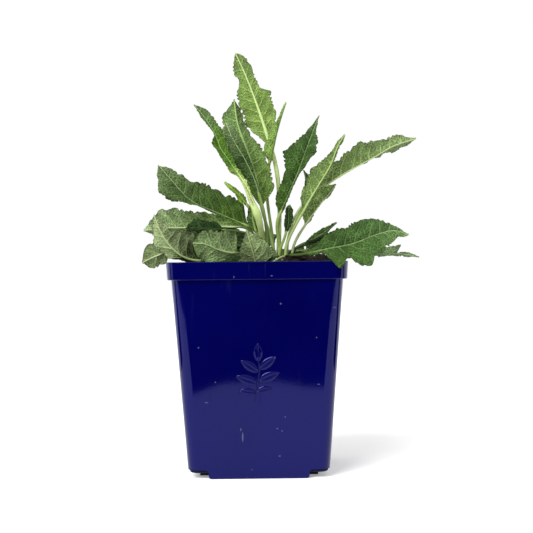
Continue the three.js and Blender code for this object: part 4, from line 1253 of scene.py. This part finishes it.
def body_half(z):
    """The body's half side at a height."""
    return BODY_FOOT_HALF + (BODY_TOP_HALF - BODY_FOOT_HALF) * z / BODY_TOP


def body_corner(z):
    """The radius of the body's upright corners at a height."""
    return BODY_CORNER_FOOT + (BODY_CORNER_TOP - BODY_CORNER_FOOT) * z / BODY_TOP


def loft(name, rings):
    """A closed body through rings of equal count, listed upward."""
    count = len(rings[0])
    points = [tuple(c * MM for c in point) for ring in rings for point in ring]
    faces = [tuple(range(count))[::-1]]
    for row in range(len(rings) - 1):
        for i in range(count):
            a = row * count + i
            b = row * count + (i + 1) % count
            faces.append((a, b, b + count, a + count))
    top = (len(rings) - 1) * count
    faces.append(tuple(range(top, top + count)))
    mesh = bpy.data.meshes.new(name)
    mesh.from_pydata(points, [], faces)
    solid = bpy.data.objects.new(name, mesh)
    bpy.context.scene.collection.objects.link(solid)
    return solid


def box_solid(name, low, high):
    """A rectangular block between two corners."""
    (x0, y0, z0), (x1, y1, z1) = low, high
    return loft(name, [[(x0, y0, z), (x1, y0, z), (x1, y1, z), (x0, y1, z)] for z in (z0, z1)])


def combined(solid, operation, others):
    """The solid after it has been joined with or cut by the others, which are used up."""
    for other in others:
        modifier = solid.modifiers.new("shape", "BOOLEAN")
        modifier.operation = operation
        modifier.solver = "EXACT"
        modifier.object = other
        bpy.context.view_layer.update()
        shaped = bpy.data.meshes.new_from_object(solid.evaluated_get(bpy.context.evaluated_depsgraph_get()))
        solid.modifiers.clear()
        solid.data = shaped
        bpy.data.objects.remove(other)
    return solid


def keep_walls_flat(solid):
    """Shades the broad walls flat and leaves the turn to the narrow faces of the rounded edges."""
    modifier = solid.modifiers.new("flat_walls", "WEIGHTED_NORMAL")
    modifier.keep_sharp = True
    modifier.weight = 100
    bpy.context.view_layer.update()
    shaped = bpy.data.meshes.new_from_object(solid.evaluated_get(bpy.context.evaluated_depsgraph_get()))
    solid.modifiers.clear()
    solid.data = shaped


def skirt_profile():
    """The outline, across and up, of what is cut from beside the foot's middle."""
    far = BODY_TOP_HALF
    arc = []
    for angle in arc_angles(90, 90, SKIRT_STEPS):
        arc.append((SKIRT_HALF + SKIRT_ROUND + SKIRT_ROUND * math.cos(angle),
                    LEDGE_HEIGHT - SKIRT_ROUND + SKIRT_ROUND * math.sin(angle)))
    foot = []
    for angle in arc_angles(0, -90, SKIRT_STEPS):
        foot.append((SKIRT_HALF - SKIRT_FOOT_ROUND + SKIRT_FOOT_ROUND * math.cos(angle),
                     SKIRT_FOOT_ROUND + SKIRT_FOOT_ROUND * math.sin(angle)))
    inner = SKIRT_HALF - SKIRT_FOOT_ROUND
    return [(inner, -OVERLAP), (far, -OVERLAP), (far, LEDGE_HEIGHT)] + arc + foot


def skirt_cut(turn):
    """The prism that frees one corner of the foot, seen from one side."""
    reach = BODY_TOP_HALF
    angle = math.radians(turn)

    def turned(x, y, z):
        return (x * math.cos(angle) - y * math.sin(angle), x * math.sin(angle) + y * math.cos(angle), z)

    rings = [[turned(x, y, z) for x, z in skirt_profile()] for y in (reach, -reach)]
    return loft("skirt_cut", rings)


def inner_room():
    """The solids that hollow the pot out."""
    step = BODY_TOP + WALL
    shelf = LEDGE_HEIGHT + WALL
    foot = PLINTH_HALF - WALL
    reach = BODY_FOOT_HALF - WALL
    side = SIDE_SKIRT_REACH - WALL
    width = SKIRT_HALF - WALL - SKIRT_FOOT_ROUND
    return [
        loft("room_body", [rounded_square(body_half(z) - WALL, body_corner(z) - WALL, z)
                           for z in (shelf, step + OVERLAP)]),
        loft("room_rim", [rounded_square(RIM_FOOT_HALF - WALL, RIM_CORNER - WALL, z)
                          for z in (step, POT_HEIGHT + OVERLAP)]),
        loft("room_foot", [rounded_square(foot, PLINTH_CORNER - WALL, z) for z in (WALL, shelf + OVERLAP)]),
        box_solid("room_across", (-side, -width, WALL), (side, width, shelf + OVERLAP)),
        box_solid("room_along", (-width, -reach, WALL), (width, reach, shelf + OVERLAP)),
    ]


def rim_rings():
    """The rim's outside from its foot to its rounded lip."""
    rings = []
    for angle in arc_angles(0, 90, ROUND_STEPS):
        half = RIM_FOOT_HALF - LIP_ROUND * (1 - math.sin(angle))
        rings.append(rounded_square(half, RIM_CORNER, BODY_TOP + LIP_ROUND * (1 - math.cos(angle))))
    for angle in arc_angles(0, 90, ROUND_STEPS):
        half = RIM_HALF - LIP_ROUND * (1 - math.cos(angle))
        rings.append(rounded_square(half, RIM_CORNER, POT_HEIGHT - LIP_ROUND * (1 - math.sin(angle))))
    return rings


def heel():
    """The recessed lower edge of the pot's corners, rounded at its foot."""
    half = body_half(LEDGE_HEIGHT) - HEEL_INSET
    corner = BODY_CORNER_FOOT - HEEL_INSET
    rings = []
    for angle in arc_angles(0, 90, ROUND_STEPS):
        shrink = HEEL_INSET * (1 - math.sin(angle))
        rings.append(rounded_square(half - shrink, corner, HEEL_FOOT + HEEL_INSET * (1 - math.cos(angle))))
    return loft("heel", rings + [rounded_square(half, corner, LEDGE_HEIGHT + OVERLAP)])


def tag_room():
    """The shallow square recess in the middle of the rim's front, with sloping sides."""
    half = TAG_WIDTH / 2
    middle = POT_HEIGHT - RIM_HEIGHT / 2
    rings = []
    for z in (middle - TAG_HEIGHT / 2, middle + TAG_HEIGHT / 2):
        wall = RIM_FOOT_HALF + (RIM_HALF - RIM_FOOT_HALF) * (z - BODY_TOP) / RIM_HEIGHT
        back = TAG_DEPTH - wall
        front = -RIM_HALF - OVERLAP
        open_half = half + back - front
        rings.append([(-open_half, front, z), (open_half, front, z), (half, back, z), (-half, back, z)])
    return loft("tag", rings)


def drain(x, y):
    """A round drain hole's cutter."""
    angles = [k * 2 * math.pi / DRAIN_SIDES for k in range(DRAIN_SIDES)]
    ring = [(x + DRAIN_RADIUS * math.cos(angle), y + DRAIN_RADIUS * math.sin(angle)) for angle in angles]
    return loft("drain", [[(px, py, z) for px, py in ring] for z in (-OVERLAP, WALL + OVERLAP)])


def sprig_leaf(x, z, angle, length, width):
    """The rows of points of one low leaf that stands proud of the pot's front wall."""
    turn = math.radians(angle)
    rows = []
    for i in range(RELIEF_ROWS + 1):
        along = i / RELIEF_ROWS
        half = width / 2 * math.sin(math.pi * along ** 0.85) ** 0.8 + RELIEF_TIP
        row = []
        for j in range(-RELIEF_SIDES, RELIEF_SIDES + 1):
            across = j / RELIEF_SIDES
            height = RELIEF_HEIGHT * (1 - abs(across) ** 4) * min(1, 6 * along, 6 * (1 - along) + 0.15)
            height -= RELIEF_GROOVE * math.exp(-(across / RELIEF_GROOVE_WIDTH) ** 2)
            px = x + math.cos(turn) * along * length - math.sin(turn) * across * half
            pz = z + math.sin(turn) * along * length + math.cos(turn) * across * half
            row.append((px, -body_half(pz) - height, pz))
        rows.append(row)
    return rows


def sprig_stem(x, z, points):
    """The rows of points of the sprig's low round stem."""
    rows = []
    line = curve_points([(x + px, 0, z + pz) for px, pz in points], np.linspace(0, 1, STEM_POINTS))
    along = unit(np.gradient(line, axis=0))
    for point, way in zip(line, along):
        row = []
        for j in range(-STEM_SIDES, STEM_SIDES + 1):
            across = j / STEM_SIDES * STEM_RADIUS
            px = point[0] - way[2] * across
            pz = point[2] + way[0] * across
            height = STEM_RADIUS * math.sqrt(max(0, 1 - (j / STEM_SIDES) ** 2))
            row.append((px, -body_half(pz) - height, pz))
        rows.append(row)
    return rows


def add_relief(mesh_points, mesh_faces, rows):
    """Adds one raised form as a closed body whose back is sunk in the wall."""
    start = len(mesh_points)
    high, wide = len(rows), len(rows[0])
    for row in rows:
        mesh_points.extend(row)
    for row in rows:
        mesh_points.extend((x, -body_half(z) + SPRIG_SUNK, z) for x, _, z in row)
    back = start + high * wide
    for i in range(high - 1):
        for j in range(wide - 1):
            a = i * wide + j
            quad = (a, a + wide, a + wide + 1, a + 1)
            mesh_faces.append(tuple(start + k for k in quad))
            mesh_faces.append(tuple(back + k for k in quad[::-1]))
    border = list(range(wide)) + [i * wide + wide - 1 for i in range(1, high)]
    border += [(high - 1) * wide + j for j in range(wide - 2, -1, -1)]
    border += [i * wide for i in range(high - 2, 0, -1)]
    for a, b in zip(border, border[1:] + border[:1]):
        mesh_faces.append((start + a, start + b, back + b, back + a))


def sprig(material):
    """A plain sprig of leaves in low relief on the pot's front."""
    points = []
    faces = []
    add_relief(points, faces, sprig_stem(0, SPRIG_HEIGHT, SPRIG_STEM))
    for x, z, angle, length, width in SPRIG_LEAVES:
        add_relief(points, faces, sprig_leaf(x, SPRIG_HEIGHT + z, angle, length, width))
    mesh = bpy.data.meshes.new("pot_sprig")
    mesh.from_pydata([tuple(c * MM for c in p) for p in points], [], faces)
    mesh.shade_smooth()
    mesh.materials.append(material)
    piece = bpy.data.objects.new("pot_sprig", mesh)
    bpy.context.scene.collection.objects.link(piece)
    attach(piece, "root")


def make_pot(material):
    """The moulded pot: tapered body, rim with a rounded lip, stepped foot with raised corners."""
    pot = loft("pot_fine", [rounded_square(body_half(z), body_corner(z), z) for z in (0, BODY_TOP + OVERLAP)])
    combined(pot, "UNION", [loft("rim", rim_rings())])
    for quarter in range(4):
        corner = combined(skirt_cut(90 * quarter), "INTERSECT", [skirt_cut(90 * quarter + 90)])
        combined(pot, "DIFFERENCE", [corner])
    beyond = BODY_TOP_HALF
    rooms = []
    for side in (-1, 1):
        left, right = sorted((side * SIDE_SKIRT_REACH, side * beyond))
        rooms.append(box_solid("side_room", (left, -beyond, -OVERLAP), (right, beyond, LEDGE_HEIGHT)))
    combined(pot, "DIFFERENCE", rooms)
    combined(pot, "UNION", [heel()])
    combined(pot, "UNION", [loft("plinth", [rounded_square(PLINTH_HALF, PLINTH_CORNER, z)
                                            for z in (0, LEDGE_HEIGHT + OVERLAP)])])
    combined(pot, "DIFFERENCE", inner_room())
    holes = [drain(x, y) for x in (-DRAIN_OFFSET, DRAIN_OFFSET) for y in (-DRAIN_OFFSET, DRAIN_OFFSET)]
    combined(pot, "DIFFERENCE", holes)
    combined(pot, "DIFFERENCE", [tag_room()])
    pot.data.materials.clear()
    pot.data.materials.append(material)
    pot.data.shade_smooth()
    pot.data.set_sharp_from_angle(angle=math.radians(SHARP_DEGREES))
    keep_walls_flat(pot)
    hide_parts("pot")
    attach(pot, "root")


# ---- the soil ----
def soil_height(x, y):
    """The soil's height: a rise round the crown, and a broad clod on the right."""
    cx, cy = CROWN_CENTRE
    rise = SOIL_RISE * np.exp(-((x - cx) ** 2 + (y - cy) ** 2) / SOIL_RISE_SPREAD ** 2)
    clod_x, clod_y, spread, height = SOIL_CLOD
    clod = height * np.exp(-(((x - clod_x) ** 2 + (y - clod_y) ** 2) / spread ** 2) ** 2)
    coarse = 0.7 * np.sin(0.31 * x + 0.9) * np.cos(0.27 * y - 0.4)
    fine = 0.5 * np.sin(0.17 * x - 0.23 * y)
    return SOIL_LEVEL + rise + clod + coarse + fine


def square_to_round(x, y, half, corner):
    """Moves points of the square -1 to 1 so that its border becomes a rounded square."""
    inner = 1 - corner / half
    norm = np.maximum(np.abs(x), np.abs(y))
    safe = np.maximum(norm, 1e-9)
    bx = np.abs(x) / safe
    by = np.abs(y) / safe
    radius = corner / half
    long = np.maximum(np.hypot(bx, by), 1e-9)
    dx = bx / long
    dy = by / long
    dot = (dx + dy) * inner
    root = dot ** 2 - 2 * inner ** 2 + radius ** 2
    arc = dot + np.sqrt(np.maximum(root, 0))
    in_corner = (dx * arc > inner) & (dy * arc > inner)
    reach = np.where(in_corner, arc / long, 1)
    scale = 1 + (reach - 1) * norm ** 6
    return x * scale * half, y * scale * half


def soil_lumps(x, y):
    """The crumbs of peat on top of the CAD's smooth heap."""
    crumbs = np.minimum(cells(x, y, CRUMB_SIZE, 5), LUMP_TOP) * CRUMB_HEIGHT
    grains = np.minimum(cells(x, y, GRAIN_SIZE, 11), LUMP_TOP) * GRAIN_HEIGHT
    return crumbs + grains + HEAP_HEIGHT * ripple(x, y, HEAP_LENGTH, 3) - CRUMBS_SUNK


def make_soil(material, bark, perlite):
    """The soil: a crumbly heap that fills the pot, with bark and perlite lying in it."""
    count = SOIL_COLUMNS
    line = np.linspace(-1, 1, count + 1)
    gx, gy = np.meshgrid(line, line, indexing="ij")
    half = RIM_FOOT_HALF - WALL - CLEARANCE
    corner = RIM_CORNER - WALL - CLEARANCE
    x, y = square_to_round(gx, gy, half, corner)
    edge = smooth(half - np.maximum(np.abs(x), np.abs(y)), 0, SOIL_EDGE)
    z = soil_height(x, y) + soil_lumps(x, y) * (0.3 + 0.7 * edge)
    away = np.hypot(x - CROWN_CENTRE[0], y - CROWN_CENTRE[1])
    z = z - SOIL_DIP * smooth(SOIL_DIP_RADIUS - away, 0, SOIL_DIP_EDGE)
    points = np.stack([x, y, z], axis=-1)
    skin = Skin()
    first = skin.add_points(points)
    row = np.arange(count)[:, None] * (count + 1)
    col = np.arange(count)[None, :]
    a = first + row + col
    quads = np.stack([a, a + count + 1, a + count + 2, a + 1], axis=-1).reshape(-1, 4)
    u = (gx + 1) / 2 * SOIL_MAP
    v = (gy + 1) / 2 * SOIL_MAP
    uv = np.stack([u, v], axis=-1).reshape(-1, 2)
    skin.add_faces(quads, uv[quads - first], 0)
    steps = np.arange(count)
    border = np.concatenate([steps * (count + 1), count * (count + 1) + steps,
                             (count - steps) * (count + 1) + count, count - steps])
    levels = [(BODY_TOP + WALL + CLEARANCE, RIM_FOOT_HALF, RIM_CORNER),
              (BODY_TOP + WALL, BODY_TOP_HALF, BODY_CORNER_TOP),
              (LEDGE_HEIGHT + WALL + CLEARANCE, body_half(LEDGE_HEIGHT), body_corner(LEDGE_HEIGHT))]
    above = border + first
    across = np.arange(len(border) + 1) / len(border) * SOIL_MAP
    for k, (height, outer, outer_corner) in enumerate(levels):
        inset = WALL + CLEARANCE
        bx, by = square_to_round(gx.ravel()[border], gy.ravel()[border], outer - inset, outer_corner - inset)
        ring = np.stack([bx, by, np.full(len(bx), float(height))], axis=-1)
        below = skin.add_points(ring) + np.arange(len(border))
        sides = np.stack([above, below, np.roll(below, -1), np.roll(above, -1)], axis=-1)
        low = 0.92 + 0.02 * k
        maps = np.stack([np.stack([across[:-1], across[:-1], across[1:], across[1:]], axis=-1),
                         np.broadcast_to([low, low + 0.02, low + 0.02, low], sides.shape)], axis=-1)
        skin.add_faces(sides, maps, 0)
        above = below
    skin.add_faces(above[None, :], [0.95, 0.95], 0)
    soil = skin.mesh("soil_fine", [material])
    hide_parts("soil")
    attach(soil, "root")
    scatter_chips("soil_bark", bark, 260, (1.2, 3.6), 0.45, 21)
    scatter_chips("soil_perlite", perlite, 26, (0.5, 1.0), 0.9, 35)


def scatter_chips(name, material, count, sizes, flatness, seed):
    """Small angular bits half sunk in the soil."""
    draw = np.random.default_rng(seed)
    points = []
    faces = []
    golden = (1 + 5 ** 0.5) / 2
    corners = [(0, s, t * golden) for s in (-1, 1) for t in (-1, 1)]
    turned = [(c, a, b) for a, b, c in corners] + [(b, c, a) for a, b, c in corners]
    corners = unit(np.array(corners + turned, float))
    triples = [(i, j, k) for i in range(12) for j in range(i + 1, 12) for k in range(j + 1, 12)
               if max(np.linalg.norm(corners[i] - corners[j]), np.linalg.norm(corners[j] - corners[k]),
                      np.linalg.norm(corners[i] - corners[k])) < 1.1]
    half = RIM_FOOT_HALF - WALL - CHIP_MARGIN
    for _ in range(count):
        x, y = draw.uniform(-half, half, 2)
        if math.hypot(x - CROWN_CENTRE[0], y - CROWN_CENTRE[1]) < CROWN_RADIUS + CHIP_CLEARANCE:
            continue
        size = draw.uniform(*sizes)
        shape = corners * draw.uniform(0.7, 1.15, (12, 1))
        shape = shape * [size, size * draw.uniform(0.35, 0.8), size * flatness]
        turn = draw.uniform(0, math.tau)
        tilt = draw.uniform(-0.5, 0.5)
        spin = Matrix.Rotation(turn, 3, "Z") @ Matrix.Rotation(tilt, 3, "X")
        shape = shape @ np.array(spin).T
        height = float(soil_height(np.array(x), np.array(y)) + soil_lumps(np.array(x), np.array(y)))
        start = len(points)
        points.extend((shape + [x, y, height + size * flatness * CHIP_RAISED]).tolist())
        for i, j, k in triples:
            outward = np.cross(corners[j] - corners[i], corners[k] - corners[i]) @ corners[i] > 0
            faces.append((start + i, start + j, start + k) if outward else (start + i, start + k, start + j))
    mesh = bpy.data.meshes.new(name)
    mesh.from_pydata([tuple(c * MM for c in p) for p in points], [], faces)
    mesh.materials.append(material)
    piece = bpy.data.objects.new(name, mesh)
    bpy.context.scene.collection.objects.link(piece)
    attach(piece, "root")


# ---- the crown ----
def make_crown(material):
    """The low woody crown with the overlapping bases of old sheaths round it."""
    turns = CROWN_SIDES
    angle = np.arange(turns) * math.tau / turns
    rings = []
    for share, height in CROWN_RINGS:
        scale = 1 + 0.035 * np.sin(9 * angle + height * 0.5) + 0.025 * np.sin(23 * angle + height * 0.9)
        radius = np.maximum(CROWN_RADIUS * share * (scale if share else 1), 0.02)
        lump = 0 * angle
        if height > LUMPS_FROM:
            lump = LUMP_HEIGHT * np.sin(7 * angle + 5 * share) * math.sin(math.pi * min(share, 1))
        rings.append(np.stack([CROWN_CENTRE[0] + radius * np.cos(angle),
                               CROWN_CENTRE[1] + radius * np.sin(angle), height + lump], axis=-1))
    points = np.array(rings)
    skin = Skin()
    first = skin.add_points(points)
    rows = len(rings)
    corners = ring_faces(first, rows, turns)
    maps = ring_maps(np.arange(turns + 1) / turns, np.arange(rows) / rows)
    skin.add_faces(corners, maps, 0)
    skin.add_faces((first + np.arange(turns)[::-1])[None, :], [0.5, 0.99], 0)
    skin.add_faces((first + (rows - 1) * turns + np.arange(turns))[None, :], [0.5, 0.99], 0)
    crown = skin.mesh("crown_fine", [material])
    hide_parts("crown")
    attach(crown, "root")


# ---- the stage, the light and the camera ----
def stage_plane(name, corners, z, material):
    """A level sheet of the stage, in metres."""
    mesh = bpy.data.meshes.new(name)
    mesh.from_pydata([(x, y, z) for x, y in corners], [], [tuple(range(len(corners)))])
    mesh.materials.append(material)
    plane = bpy.data.objects.new(name, mesh)
    bpy.context.scene.collection.objects.link(plane)
    return plane


def add_stage():
    """The floor, and the dark cards just above it that only the pot's gloss mirrors."""
    far = FLOOR_REACH
    stage_plane("floor", [(-far, -far), (far, -far), (far, far), (-far, far)], 0, floor_finish())
    dark = card_finish()
    for name, outline, turn in (("card_front", FRONT_CARD, 0), ("card_right", SLIM_CARD, 90),
                                ("card_back", SLIM_CARD, 180), ("card_left", SLIM_CARD, 270)):
        c = math.cos(math.radians(turn))
        s = math.sin(math.radians(turn))
        card = stage_plane(name, [(x * c - y * s, x * s + y * c) for x, y in outline], CARD_LEVEL, dark)
        card.visible_camera = False
        card.visible_diffuse = False
        card.visible_shadow = False
        card.visible_transmission = False
        card.visible_volume_scatter = False


def add_sun(name, place, softness, strength):
    """A broad soft light from a direction, given as a place that it shines from."""
    light = bpy.data.lights.new(name, "SUN")
    light.angle = math.radians(softness)
    light.energy = strength
    lamp = bpy.data.objects.new(name, light)
    back = np.array(place, float) / np.linalg.norm(place)
    right = np.cross([0, 0, 1], back)
    right = right / np.linalg.norm(right)
    up = np.cross(back, right)
    lamp.matrix_world = Matrix([[right[i], up[i], back[i], place[i]] for i in range(3)] + [[0, 0, 0, 1]])
    bpy.context.scene.collection.objects.link(lamp)


def add_world():
    """An even white surround."""
    world = bpy.data.worlds.new("white_room")
    bpy.context.scene.world = world
    world.use_nodes = True
    tree = world.node_tree
    background = tree.nodes["Background"]
    background.inputs["Color"].default_value = (1, 1, 1, 1)
    path = tree.nodes.new("ShaderNodeLightPath")
    level = tree.nodes.new("ShaderNodeMapRange")
    level.inputs["To Min"].default_value = WORLD_LIGHT
    level.inputs["To Max"].default_value = 1.0
    tree.links.new(path.outputs["Is Camera Ray"], level.inputs["Value"])
    tree.links.new(level.outputs[0], background.inputs["Strength"])
    bpy.context.scene.view_settings.view_transform = "Standard"
    bpy.context.scene.view_settings.look = "None"


def add_camera():
    """The camera, at the height of the pot's rim and square to its front."""
    lens = bpy.data.cameras.new("camera")
    lens.sensor_width = SENSOR_WIDTH
    lens.lens = CAMERA_LENS
    lens.clip_start = 0.01
    lens.clip_end = 50
    camera = bpy.data.objects.new("camera", lens)
    level = np.array([-math.sin(CAMERA_TURN), math.cos(CAMERA_TURN), 0])
    forward = level * math.cos(CAMERA_PITCH) - np.array([0, 0, 1]) * math.sin(CAMERA_PITCH)
    right = np.cross(forward, [0, 0, 1])
    right = right / np.linalg.norm(right)
    up = np.cross(right, forward)
    rolled_right = math.cos(CAMERA_ROLL) * right + math.sin(CAMERA_ROLL) * up
    rolled_up = math.cos(CAMERA_ROLL) * up - math.sin(CAMERA_ROLL) * right
    rows = [[rolled_right[i], rolled_up[i], -forward[i], CAMERA_PLACE[i]] for i in range(3)]
    camera.matrix_world = Matrix(rows + [[0, 0, 0, 1]])
    bpy.context.scene.collection.objects.link(camera)
    bpy.context.scene.camera = camera


plastic = plastic_finish()
leaf_materials = [leaf_finish("leaf_upper_face", True), leaf_finish("leaf_lower_face", False), stalk_finish()]
for leaf_row in LEAVES:
    make_leaf(leaf_row, leaf_materials)
make_pot(plastic)
sprig(plastic)
make_soil(soil_finish(), chip_finish("bark_chip", (0.007, 0.0045, 0.003), (0.036, 0.021, 0.012)),
          chip_finish("perlite", (0.45, 0.44, 0.41), (0.8, 0.79, 0.76)))
make_crown(crown_finish())
add_stage()
add_world()
add_sun("key", SUN_PLACE, SUN_SOFTNESS, SUN_STRENGTH)
add_camera()
